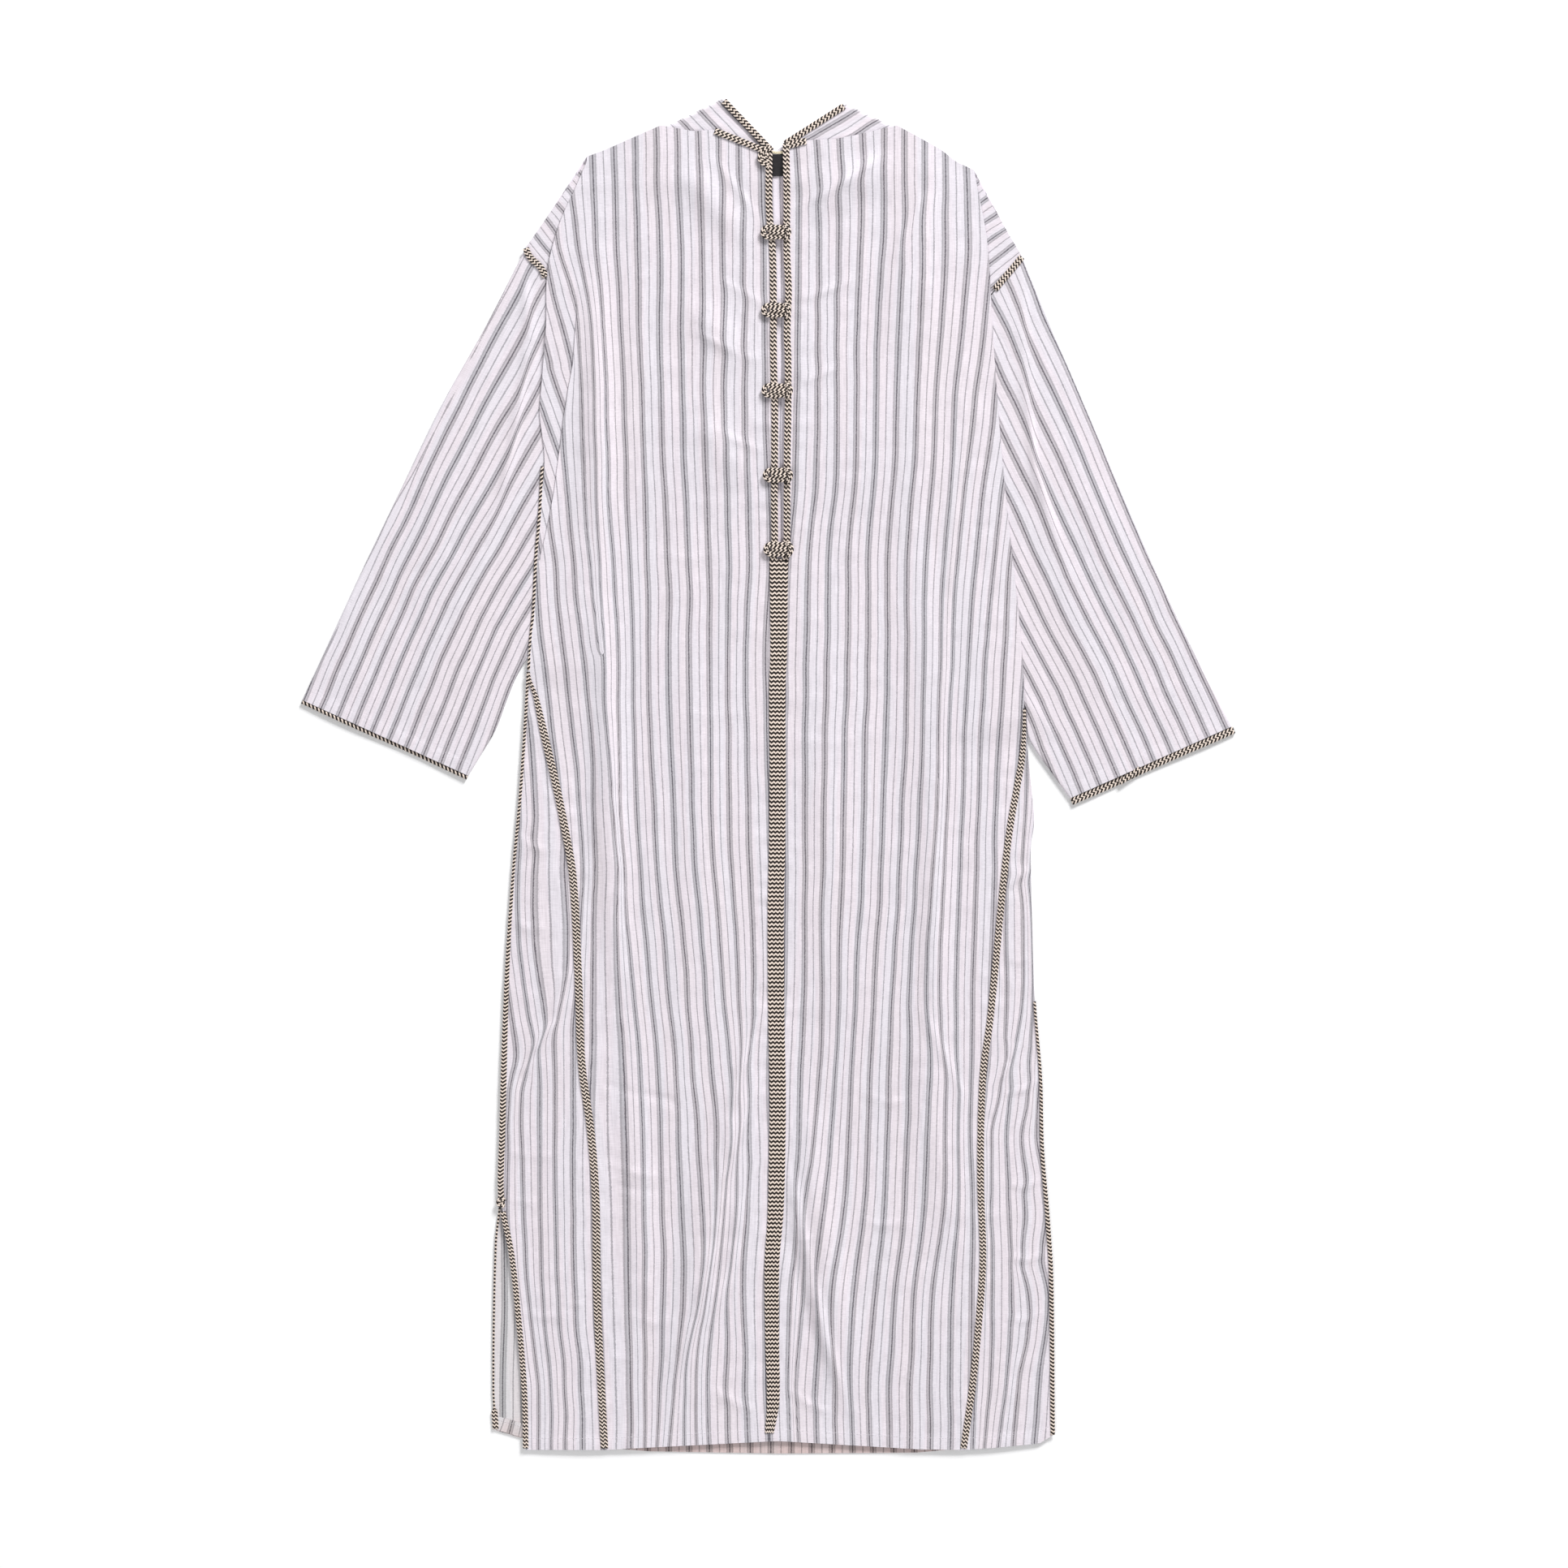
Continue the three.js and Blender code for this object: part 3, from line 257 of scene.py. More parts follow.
LAY_GORE_LEFT = [
    (0, [(107, -218), (5, -200), (-80, -193.5), (-207, -199.5), (-292, -204.5), (-547, -202),
         (-632, -196), (-717, -194)]),
    (1, [(107, -240), (48, -223), (5, -217), (-80, -212), (-207, -211), (-292, -223), (-547, -219.5),
         (-632, -213), (-717, -212)]),
    (2, [(107, -260.5), (48, -250), (-80, -244.5), (-165, -246), (-250, -237), (-292, -239), (-547, -236),
         (-632, -228), (-717, -226.5)]),
    (3, [(107, -284), (48, -269), (-37, -260.5), (-165, -261.5), (-250, -252), (-292, -248.5),
         (-335, -258), (-462, -255.5), (-547, -251), (-632, -241), (-717, -239.5)]),
    (4, [(107, -303), (-37, -279), (-165, -279), (-292, -265), (-335, -270), (-462, -273.5),
         (-547, -267.5), (-632, -257), (-717, -253.5)]),
]
LAY_GORE_RIGHT = [
    (0, [(48, 242.5), (-37, 237.5), (-207, 234), (-292, 230), (-377, 224), (-462, 225), (-590, 219.5),
         (-717, 214)]),
    (1, [(48, 258), (-37, 254.5), (-122, 249.5), (-292, 248.5), (-335, 242), (-377, 233.5), (-547, 234),
         (-632, 232.5), (-717, 225)]),
    (2, [(48, 273.5), (-80, 268), (-207, 268), (-250, 265), (-292, 258), (-377, 249.5), (-462, 253.5),
         (-547, 254.5), (-632, 249.5), (-717, 239.5)]),
    (3, [(48, 293.5), (-80, 276.5), (-207, 277.5), (-335, 273.5), (-377, 265), (-420, 269), (-462, 269),
         (-505, 265), (-547, 272.5), (-590, 270.5), (-632, 261.5), (-717, 256)]),
    (4, [(48, 314), (-80, 293.5), (-207, 292), (-292, 286), (-377, 281), (-420, 288.5), (-462, 291),
         (-505, 287), (-547, 293.5), (-632, 283.5), (-717, 278.5)]),
]

# Creases: the path's (x, y) places, half width, height (a trough where negative), cloth hidden in it.
FRONT_CREASES = [
    ([(-200, 490), (-204, 432), (-209, 406), (-214, 375), (-218, 343), (-224, 297), (-232, 256),
      (-238, 231)], 3.2, 0, 0),
    ([(-186, 532), (-180, 405), (-177, 275), (-174, 167), (-166, 48), (-159, -80), (-157, -258)], 7, 0.9, 0),
    ([(220, 413), (198, 286), (186, 133), (181, -37), (173, -165), (173, -292)], 7, 0.9, 0),
    ([(-7, -309), (-30, -376), (-45, -422), (-55, -488), (-73, -564), (-98, -640)], 7.5, 4.3, 10),
    ([(-2, -238), (-17, -269), (-30, -318), (-40, -360), (-39, -400)], 6.5, 3.3, 7),
    ([(-18, -403), (-29, -454), (-39, -513), (-60, -580)], 6.5, 3.2, 7),
    ([(24, -411), (37, -480), (48, -535), (59, -582), (85, -668)], 7.5, 3.8, 8),
    ([(-44, -420), (-58, -490), (-76, -560)], 6, -1.4, 0),
    ([(22, -470), (34, -540), (50, -600)], 6, -1.2, 0),
    ([(160, -237), (181, -284), (203, -331), (201, -403), (200, -471)], 6.5, 1.8, 6),
    ([(-64, 650), (-44, 630), (-22, 600), (-4, 575)], 5, 1.2, 5),
    ([(-84, 470), (-62, 458), (-28, 440), (-2, 434)], 5, 1.0, 3),
    ([(-50, 520), (-35, 511), (-2, 494)], 4.5, 0.9, 3),
    ([(-60, 366), (-34, 352), (-4, 340)], 4.5, 1.1, 2),
    ([(124, 652), (92, 628), (60, 608), (32, 595)], 5, 1.7, 5),
    ([(166, 612), (154, 590), (140, 562), (134, 536)], 5, 1.3, 4),
    ([(92, 520), (58, 505), (30, 497)], 4.5, 1, 2),
    ([(80, 430), (54, 418), (30, 410)], 4.5, 0.9, 2),
    ([(-176, -320), (-140, -331), (-104, -338), (-86, -352)], 5, -0.9, 0),
    ([(-172, -404), (-136, -416), (-100, -420)], 5, 1, 0),
    ([(-170, -424), (-138, -432), (-108, -434)], 4, -0.7, 0),
    ([(96, -330), (126, -342), (152, -338)], 5, 0.8, 0),
    ([(90, -462), (118, -470), (148, -466)], 5, 0.9, 0),
    ([(-60, -640), (-34, -656), (-12, -664)], 5, 1.1, 2),
    ([(20, -640), (44, -658), (70, -668)], 5, 1.1, 2),
    ([(-150, -560), (-120, -572), (-96, -570)], 5, 0.7, 0),
    ([(-96, 70), (-60, 62), (-24, 66)], 6, 0.5, 0),
    ([(30, 40), (66, 34), (104, 40)], 6, 0.5, 0),
    ([(20, -483), (38, -485), (57, -481)], 2.4, 0.7, 0),
    ([(34, -657), (48, -656), (62, -651)], 2.4, 0.7, 0),
    ([(-165, -606), (-152, -610), (-138, -611)], 2.4, 0.6, 0),
    ([(-120, 236), (-84, 228), (-50, 232)], 6, 0.5, 0),
]
GORE_CREASES = [
    ([(-214, -203), (-224, -258), (-248, -292), (-258, -314)], 4.2, 2, 7),
    ([(-262, -60), (-246, -74), (-228, -78)], 4, 1, 3),
    ([(-268, -150), (-250, -160), (-232, -156)], 5, 1, 0),
    ([(-270, -392), (-246, -398), (-214, -396)], 5, 0.8, 0),
    ([(-262, -560), (-236, -566), (-206, -562)], 5, 0.8, 0),
    ([(272, -97), (262, -108), (249, -118)], 4, 1.6, 5),
    ([(262, -280), (252, -300), (241, -326)], 4, 1.8, 6),
    ([(284, -318), (266, -330), (246, -334)], 4, 1.2, 3),
    ([(288, -420), (270, -432), (250, -428)], 4, 1.1, 3),
    ([(292, -500), (272, -508), (250, -504)], 4, 1.1, 3),
    ([(290, -560), (268, -572), (244, -566)], 4.5, 0.9, 2),
    ([(274, -190), (262, -196), (250, -192)], 4, 0.8, 0),
    ([(-270, -442), (-256, -446), (-240, -446)], 2.4, 0.6, 0),
    ([(-217, -550), (-200, -553), (-183, -553)], 2.4, 0.7, 0),
]
SLEEVE_CREASES = [
    ([(-257, 540), (-253, 511), (-248.5, 472), (-248, 455), (-252, 437), (-258, 392), (-268, 335),
      (-280, 289), (-294, 245)], 5, 2.8, 8),
    ([(-240, 520), (-236, 470), (-240, 420), (-248, 360)], 5.5, -1.1, 4),
    ([(-300, 120), (-330, 90), (-352, 60)], 6, 0.7, 0),
    ([(262, 530), (266, 500), (268, 463), (272, 398), (279, 329), (297, 267), (315, 212)], 5, 2.6, 8),
    ([(244, 500), (256, 476), (262, 440)], 4, 1.3, 5),
    ([(262, 92), (282, 66), (302, 40)], 6, 1.1, 4),
    ([(360, 100), (384, 84), (410, 76)], 7, 0.5, 0),
]
BACK_CREASES = [
    ([(-150, 420), (-96, 180), (-110, -60), (-84, -330)], 9, 0.8, 3),
    ([(120, 470), (134, 190), (96, -120), (120, -420)], 9, 0.8, 3),
    ([(-20, 240), (8, -40), (-16, -380), (-40, -600)], 8, 0.7, 3),
]

PLEAT = [(y, x) for x, y in FRONT_CREASES[0][0]]  # down from the left shoulder
PLEAT_EDGE = 0.6  # how wide the turn of its fold is

# ---------------------------------------------------------------- plain helpers


def smooth(t):
    """0 below 0, 1 above 1, and between them the cubic that leaves both ends level."""
    t = np.clip(t, 0, 1)
    return t * t * (3 - 2 * t)


def mix(a, b, share):
    """The place from a to b at a share of the way."""
    return a + (b - a) * share


def line(rows, at):
    """Reads rows of (place, value) along straight lines between them."""
    rows = np.array(sorted(rows), float)
    return np.interp(at, rows[:, 0], rows[:, 1])


def curve(rows, at):
    """Reads rows of (place, value) along Hermite spans, each row with the mean slope about it."""
    place, value = np.array(sorted(rows), float).T
    last = len(place) - 1
    before = np.maximum(np.arange(last + 1) - 1, 0)
    after = np.minimum(np.arange(last + 1) + 1, last)
    slope = (value[after] - value[before]) / (place[after] - place[before])
    i = np.clip(np.searchsorted(place, at, side="right") - 1, 0, last - 1)
    span = place[i + 1] - place[i]
    t = np.clip((at - place[i]) / span, 0, 1)
    held = (2 * t**3 - 3 * t**2 + 1) * value[i] + (3 * t**2 - 2 * t**3) * value[i + 1]
    return held + span * ((t**3 - 2 * t**2 + t) * slope[i] + (t**3 - t**2) * slope[i + 1])


def ripple(x, y, wide, tall, seed):
    """Smooth unevenness from -1 to 1: seeded values on a lattice of cells wide by tall, blended."""
    u = (x + 1000) / wide
    v = (y + 1000) / tall
    values = np.random.default_rng(seed).uniform(-1, 1, (int(2000 / wide) + 3, int(2000 / tall) + 3))
    i = u.astype(int)
    j = v.astype(int)
    s = smooth(u - i)
    t = smooth(v - j)
    near = mix(values[i, j], values[i + 1, j], s)
    far = mix(values[i, j + 1], values[i + 1, j + 1], s)
    return mix(near, far, t)


def beside(path, x, y):
    """Where places lie by a path of straight legs: how far to its right, and the share along it."""
    path = np.asarray(path, float)
    legs = np.diff(path, axis=0)
    lengths = np.hypot(*legs.T)
    nearest = np.full(np.shape(x), 1e9)
    aside = np.zeros(np.shape(x))
    share = np.zeros(np.shape(x))
    run = 0
    for (px, py), (dx, dy), length in zip(path, legs, lengths):
        held = np.clip(((x - px) * dx + (y - py) * dy) / length, 0, length)
        off_x = x - px - held * dx / length
        off_y = y - py - held * dy / length
        far = np.hypot(off_x, off_y)
        side = np.where((x - px) * dy - (y - py) * dx > 0, -1, 1)
        nearer = far < nearest
        nearest = np.where(nearer, far, nearest)
        aside = np.where(nearer, side * far, aside)
        share = np.where(nearer, (run + held) / lengths.sum(), share)
        run += length
    return aside, share


def creased(creases, x, y):
    """Sums creases: the height is a bell across each, steeper on its right, which fades to both ends.
    The pull is how far the cloth's own x lies off, opposite on the two sides of a crease."""
    height = np.zeros(np.shape(x))
    pull = np.zeros(np.shape(x))
    for number, (path, wide, high, hidden) in enumerate(creases):
        aside, share = beside(path, x, y)
        uneven = 1 + 0.28 * np.sin(share * 11 + number * 2.1) + 0.12 * np.sin(share * 27 + number)
        ends = np.sin(np.pi * np.clip(share, 0, 1)) ** 0.6 * uneven
        half = np.where(aside > 0, 0.62 * wide, 1.15 * wide)
        bell = np.exp(-((aside / half) ** 2))
        height += high * ends * bell
        sharp = 0.8 if hidden > 6 else 1.2
        drawn = np.tanh(aside / (sharp * wide)) * np.exp(-((aside / (5 * wide)) ** 2))
        pull += 0.5 * hidden * np.sin(np.pi * np.clip(share, 0, 1)) ** 0.8 * drawn
    return height, pull


# ---------------------------------------------------------------- the lie of the cloth


def by_side(x, read):
    """A value read from the left side's tables left of the middle, and the right's beyond it."""
    return np.where(x < MIDDLE_X, read(LEFT), read(RIGHT))


def hood_bed(x, y):
    """How far everything above the hidden hood is lifted by it: level over it, fading beyond."""
    left = LEFT.hood_top[0][0] - HOOD_MARGIN
    right = RIGHT.hood_top[0][0] + HOOD_MARGIN
    low = LEFT.hood_low[-1][1] - HOOD_MARGIN
    aside = np.maximum(np.maximum(left - x, 0), x - right) / HOOD_FADE
    below = np.maximum(low - y, 0) / HOOD_FADE_LOW
    return HOOD_RISE * (1 - smooth(np.hypot(aside, below)))


def flap_lift(x, y):
    """The front's lift over the tucked edge of the hood's flap."""
    beyond = np.maximum(LEFT.hood_top[0][0] - 4 - x, x - RIGHT.hood_top[0][0] - 4)
    return FLAP_RISE * (1 - smooth(np.maximum(beyond, 0) / 24)) * smooth((y - 595) / 35)


def outer_edge(side, y):
    """The front's outer edge: the pleat's fold above the underarm, and the outline below it."""
    return np.where(y > side.underarm, curve(side.cut, y), curve(side.outline, y))


def side_lift(x, y):
    """The front's edge rides over the sleeve down to the underarm, and the middle stands a little proud."""
    inward = by_side(x, lambda side: np.abs(outer_edge(side, y) - x))
    near = 1 - smooth((inward - LIFT_REACH) / LIFT_FADE)
    above = by_side(x, lambda side: smooth((y - side.lift) / UNDERARM_FADE + 1))
    return SIDE_LIFT * near * above + CROWN * smooth(inward / CROWN_FADE)


def ridges(folds, x, y):
    """Sums broad folds: each is a bell across its line, and half a sine wave along it."""
    height = np.zeros(np.shape(x))
    for from_x, from_y, to_x, to_y, wide, high in folds:
        run_x = to_x - from_x
        run_y = to_y - from_y
        length = math.hypot(run_x, run_y)
        along = ((x - from_x) * run_x + (y - from_y) * run_y) / length
        aside = ((x - from_x) * run_y - (y - from_y) * run_x) / length
        share = np.clip(along / length, 0, 1)
        height += high * np.sin(np.pi * share) * np.exp(-((aside / wide) ** 2))
    return height


def slit_place(side, y, offset):
    """The slit's edge, which is drawn in at its lower end to a place beside the centre seam."""
    seam = curve(SEAM_LINE, np.minimum(y, SLIT_END)) + side.away * offset
    slit = curve(side.slit, np.maximum(y, SLIT_END + SLIT_TAPER))
    return mix(seam, slit, smooth((y - SLIT_END) / SLIT_TAPER))


def calm(x, y, edge=CALM_EDGE, fade=CALM_FADE):
    """0 at the braids and edges of the front, and 1 away from them."""
    seam = by_side(x, lambda side: np.abs(x - slit_place(side, y, SEAM)))
    cut = by_side(x, lambda side: np.abs(x - curve(side.cut, y)))
    neck = by_side(x, lambda side: line(side.neckline, x)) - y
    hem = y - line(FRONT_HEM, x)
    return smooth((np.minimum(np.minimum(seam, cut), np.minimum(neck, hem)) - edge) / fade)


def hem_turn(x, y, hem, lift=0.35):
    """A hem's doubled cloth stands proud of its stitching, which is drawn in by small puckers."""
    up = y - line(hem, x)
    return lift * (1 - smooth((up - HEM_STITCH) / 2)) - stitch_dip(up - HEM_STITCH, x)


def stitch_dip(aside, along):
    """A groove a few millimetres wide at a line of stitches, deeper at uneven puckers along it."""
    pucker = 0.5 + 0.5 * np.sin(along * 2 * np.pi / 9 + 2.5 * np.sin(along / 17))
    return (0.08 + 0.14 * pucker) * np.exp(-((aside / 2.2) ** 2))


def soft_waves(x, y, seed):
    """The slight unevenness of worn cotton: long waves down the cloth, and short crumples across it."""
    long = 0.5 * ripple(x, y, 26, 150, seed) + 0.3 * ripple(x, y, 13, 60, seed + 1)
    return long + 0.24 * ripple(x, y, 30, 12, seed + 2) + 0.12 * ripple(x, y, 9, 9, seed + 3)


def pleat_place(y):
    """The fold of the pleat down from the left shoulder, held at its ends' places above and below."""
    return line(PLEAT, y)


def pleat_step(x, y):
    """The cloth on the right of the pleat's fold lies over the cloth on its left."""
    aside = x - pleat_place(y)
    over = 1.5 * np.exp(-np.maximum(aside, 0) / 10) - 0.25
    under = -0.25 * np.exp(np.minimum(aside, 0) / 8)
    there = smooth((512 - y) / 60) * smooth((y - 222) / 30)
    return np.where(aside > -0.3, over, under) * there * (x < 0)


def front_height(x, y):
    """The underside of a front panel: its rest, the broad folds, the creases and the soft unevenness."""
    rest = FRONT_REST + SKIN_UP + hood_bed(x, y) + flap_lift(x, y) + side_lift(x, y)
    still = calm(x, y, 4, 14)
    height, _ = creased(FRONT_CREASES, x, y)
    gores, _ = creased(GORE_CREASES, x, y)
    by_seam = by_side(x, lambda side: np.abs(x - slit_place(side, y, SEAM)))
    by_cut = by_side(x, lambda side: np.abs(x - curve(side.cut, y)))
    gathers = 0.5 * ripple(x * 0.2, y, 8, 9, 31) * np.exp(-((by_seam - 10) / 11) ** 2)
    gathers += 0.42 * ripple(x * 0.2, y, 8, 10, 32) * np.exp(-((by_cut - 8) / 9) ** 2) * (y < 90)
    waves = soft_waves(x, y, 11) * mix(0.35, 1, still)
    folds = ridges(FOLDS, x, y) * calm(x, y) + (height + gores) * mix(0.4, 1, still)
    return rest + folds + waves + gathers + pleat_step(x, y)


def front_top(x, y):
    """The front's upper face, a cloth's thickness above its underside."""
    return front_height(x, y) + CLOTH_THICK


def back_height(x, y):
    """The underside of the back: level where it rests, and lifted over the hidden hood."""
    return hood_bed(x, y) + BACK_REST


def back_top(x, y):
    """The back's upper face, a cloth's thickness above its underside."""
    return back_height(x, y) + CLOTH_THICK


def stripe_number(lay, away, x, y):
    """Counts stripes outward: straight between the lay's lines, and one to each repeat beyond them.
    Where two lines come within a millimetre the count steps over the repeat that a fold hides."""
    outward = away * x
    places = [away * curve(rows, y) for _, rows in lay]
    count = lay[0][0] + np.minimum(outward - places[0], 0) / REPEAT
    for (number, _), (following, _), place, further in zip(lay, lay[1:], places, places[1:]):
        span = further - place
        between = np.clip((outward - place) / np.maximum(span, 1), 0, 1)
        count = count + (following - number) * np.where(span < 1, outward > further, between)
    return count + np.maximum(outward - places[-1], 0) / REPEAT


# ---------------------------------------------------------------- materials


def colour(code):
    """Turns an sRGB hex code into linear light."""
    parts = [int(code[i : i + 2], 16) / 255 for i in (0, 2, 4)]
    return [p / 12.92 if p <= 0.04045 else ((p + 0.055) / 1.055) ** 2.4 for p in parts] + [1]


def add(tree, kind, links=(), stops=(), **settings):
    """Adds a node and returns its outputs. Settings are its own properties, links are pairs of an
    input and a value or a socket, and stops are pairs of a place and a colour on a colour ramp."""
    node = tree.nodes.new(kind)
    for key, value in settings.items():
        setattr(node, key, value)
    for key, value in links:
        if isinstance(value, bpy.types.NodeSocket):
            tree.links.new(value, node.inputs[key])
        else:
            node.inputs[key].default_value = value
    if stops:
        elements = node.color_ramp.elements
        elements.remove(elements[1])
        elements[0].position = stops[0][0]
        elements[0].color = colour(stops[0][1])
    for place, code in stops[1:]:
        elements.new(place).color = colour(code)
    return node.outputs


def new_material(name):
    """An empty material and its node tree."""
    material = bpy.data.materials.new(name)
    material.use_nodes = True
    material.node_tree.nodes.clear()
    return material, material.node_tree


# Half of a repeat, in millimetres from the dark thread: a heathered band, the ground, a thin line.
STRIPE = [
    (0, "68646B"), (0.4, "706C72"), (0.85, "BEBABF"), (1.8, "C3BFC4"), (2.4, "AEAAAF"), (3.2, "B0ACB1"),
    (3.8, "E5DFE5"), (9.9, "E5DFE5"), (10.3, "B4B0B5"), (10.75, "A6A2A8"),
]
STRIPE_WANDER = 0.7  # how far the slubs push a stripe's edge to either side
THREAD = 0.8  # drawn about twice as coarse as the real thread, which would not show

# Cells to a metre in each pattern, with the size that gives one in millimetres.
SLUB_CELLS = 950.0  # 1.05
STRIP_CELLS = 75.0  # 13
CRUMPLE_CELLS = 90.0  # 11
YARN_CELLS = 1400.0  # 0.7
TWIST_CELLS = 1800.0  # 0.55
CORD_CELLS = 900.0  # 1.1
SATIN_CELLS = (300, 3000, 300)  # 3.3 along a thread and 0.33 across it

TINTS = [(0.36, "FBFCFE"), (0.46, "FCFCFE"), (0.54, "FEFBFD"), (0.66, "FEFBFC")]
# Painted shade and light down the back's inside, by height: a brown painted shade at the hem, where the
# front's hem shades it, then a dimmer grey over the middle, then white painted light from just below the
# middle up, which lightens the inside where it shows in the shaded slit.
PAINTED_SHADE_RISE = 1.0  # added to the metres along the robe, so that the hem is at 0.29
PAINTED_SHADE_RAMP = [(0.295, "E0D2CA"), (0.33, "E9ECE7"), (0.6, "E9ECE8"), (0.95, "FFFDFF")]


def striped_cotton(name, inside=False):
    """Plain-woven cotton with dyed warp stripes: matt, faintly slubbed, with a little fibre sheen. The
    inside of the back is a touch bluer and painted lighter toward the neck, with a brown painted shade
    toward its hem."""
    material, tree = new_material(name)
    lay = add(tree, "ShaderNodeUVMap", uv_map="lay")["UV"]
    slub = add(tree, "ShaderNodeMapping", [("Vector", lay), ("Scale", (1, 0.6, 1))])["Vector"]
    uneven = add(
        tree, "ShaderNodeTexNoise", [("Vector", slub), ("Scale", SLUB_CELLS), ("Detail", 2.0)]
    )["Fac"]
    nudge = add(
        tree,
        "ShaderNodeMath",
        [(0, uneven), (1, 2 * STRIPE_WANDER * MM), (2, -STRIPE_WANDER * MM)],
        operation="MULTIPLY_ADD",
    )["Value"]
    parts = add(tree, "ShaderNodeSeparateXYZ", [("Vector", lay)])
    across = add(tree, "ShaderNodeMath", [(0, parts["X"]), (1, nudge)], operation="ADD")["Value"]
    turns = add(
        tree,
        "ShaderNodeMath",
        [(0, across), (1, 1 / (REPEAT * MM)), (2, 0.5)],
        operation="MULTIPLY_ADD",
    )["Value"]
    place = add(tree, "ShaderNodeMath", [(0, turns)], operation="FRACT")["Value"]
    down = [(0.5 - mm / REPEAT, code) for mm, code in reversed(STRIPE)]
    up = [(0.5 + mm / REPEAT, code) for mm, code in STRIPE[1:]]
    stripes = add(tree, "ShaderNodeValToRGB", [("Fac", place)], down + up)["Color"]
    # Warp threads differ a little in depth of dye, and the pale weft crosses them as fine dashes.
    grains = []
    for stretch in ((1, 0.03, 1), (0.12, 1, 1)):
        drawn = add(tree, "ShaderNodeMapping", [("Vector", lay), ("Scale", stretch)])["Vector"]
        cells = [("Vector", drawn), ("Scale", 1 / (THREAD * MM)), ("Detail", 1.0)]
        grains.append(add(tree, "ShaderNodeTexNoise", cells))
    warp, weft = grains
    grain = add(tree, "ShaderNodeMath", [(0, warp["Fac"]), (1, weft["Fac"])], operation="ADD")["Value"]
    # On the inside the range is raised. Besides the real thread-to-thread difference, this is painted light
    # that draws the inside lighter all over, to offset the shade where it shows through the slit.
    faintest, deepest = (0.98, 1.2) if inside else (0.86, 1.09)
    span = [("From Min", 0.65), ("From Max", 1.35), ("To Min", faintest), ("To Max", deepest)]
    depth = add(tree, "ShaderNodeMapRange", [("Value", grain), *span])["Result"]
    woven = add(tree, "ShaderNodeVectorMath", [(0, stripes), (1, depth)], operation="MULTIPLY")["Vector"]
    # Strip by strip the ground leans from a cool white to a warm pink.
    strip = add(tree, "ShaderNodeMapping", [("Vector", lay), ("Scale", (1, 0.05, 1))])["Vector"]
    cells = [("Vector", strip), ("Scale", STRIP_CELLS), ("Detail", 1.0)]
    dyed = add(tree, "ShaderNodeTexNoise", cells)["Fac"]
    tint = add(tree, "ShaderNodeValToRGB", [("Fac", dyed)], TINTS)["Color"]
    tinted = add(tree, "ShaderNodeVectorMath", [(0, woven), (1, tint)], operation="MULTIPLY")["Vector"]
    spot = add(tree, "ShaderNodeTexCoord")["Object"]
    if inside:
        # Painted shade and light by height: browned at the hem and lightened toward the neck.
        place = add(tree, "ShaderNodeSeparateXYZ", [("Vector", spot)])["Y"]
        far = add(tree, "ShaderNodeMath", [(0, place), (1, PAINTED_SHADE_RISE)], operation="ADD")["Value"]
        painted_shade = add(tree, "ShaderNodeValToRGB", [("Fac", far)], PAINTED_SHADE_RAMP)["Color"]
        tinted = add(tree, "ShaderNodeVectorMath", [(0, tinted), (1, painted_shade)], operation="MULTIPLY")["Vector"]
    drift = add(tree, "ShaderNodeMapping", [("Vector", spot), ("Scale", (1, 0.3, 1))])["Vector"]
    crumple = add(
        tree, "ShaderNodeTexNoise", [("Vector", drift), ("Scale", CRUMPLE_CELLS), ("Detail", 4.0)]
    )["Fac"]
    soft = add(
        tree, "ShaderNodeBump", [("Height", crumple), ("Strength", 0.25), ("Distance", 0.9 * MM)]
    )["Normal"]
    weave = add(
        tree,
        "ShaderNodeBump",
        [("Height", grain), ("Strength", 0.3), ("Distance", 0.12 * MM), ("Normal", soft)],
    )["Normal"]
    surface = add(
        tree,
        "ShaderNodeBsdfPrincipled",
        [
            ("Base Color", tinted), ("Roughness", 0.86), ("Sheen Weight", 0.12), ("Sheen Roughness", 0.5),
            ("Specular IOR Level", 0.25), ("Normal", weave),
        ],
    )["BSDF"]
    add(tree, "ShaderNodeOutputMaterial", [("Surface", surface)])
    return material


STRAND_DARK = "170D0A"
STRAND_PALE = "F3E3D6"
# Painted shade: a dark brown drawn where the strands meet, for the shade in the grooves between them.
STRAND_GROOVE_SHADE = "45312A"
STRANDS = [
    (0, STRAND_GROOVE_SHADE), (0.05, STRAND_DARK), (0.46, STRAND_DARK), (0.52, STRAND_GROOVE_SHADE),
    (0.59, STRAND_PALE), (0.93, STRAND_PALE), (1, STRAND_GROOVE_SHADE),
]


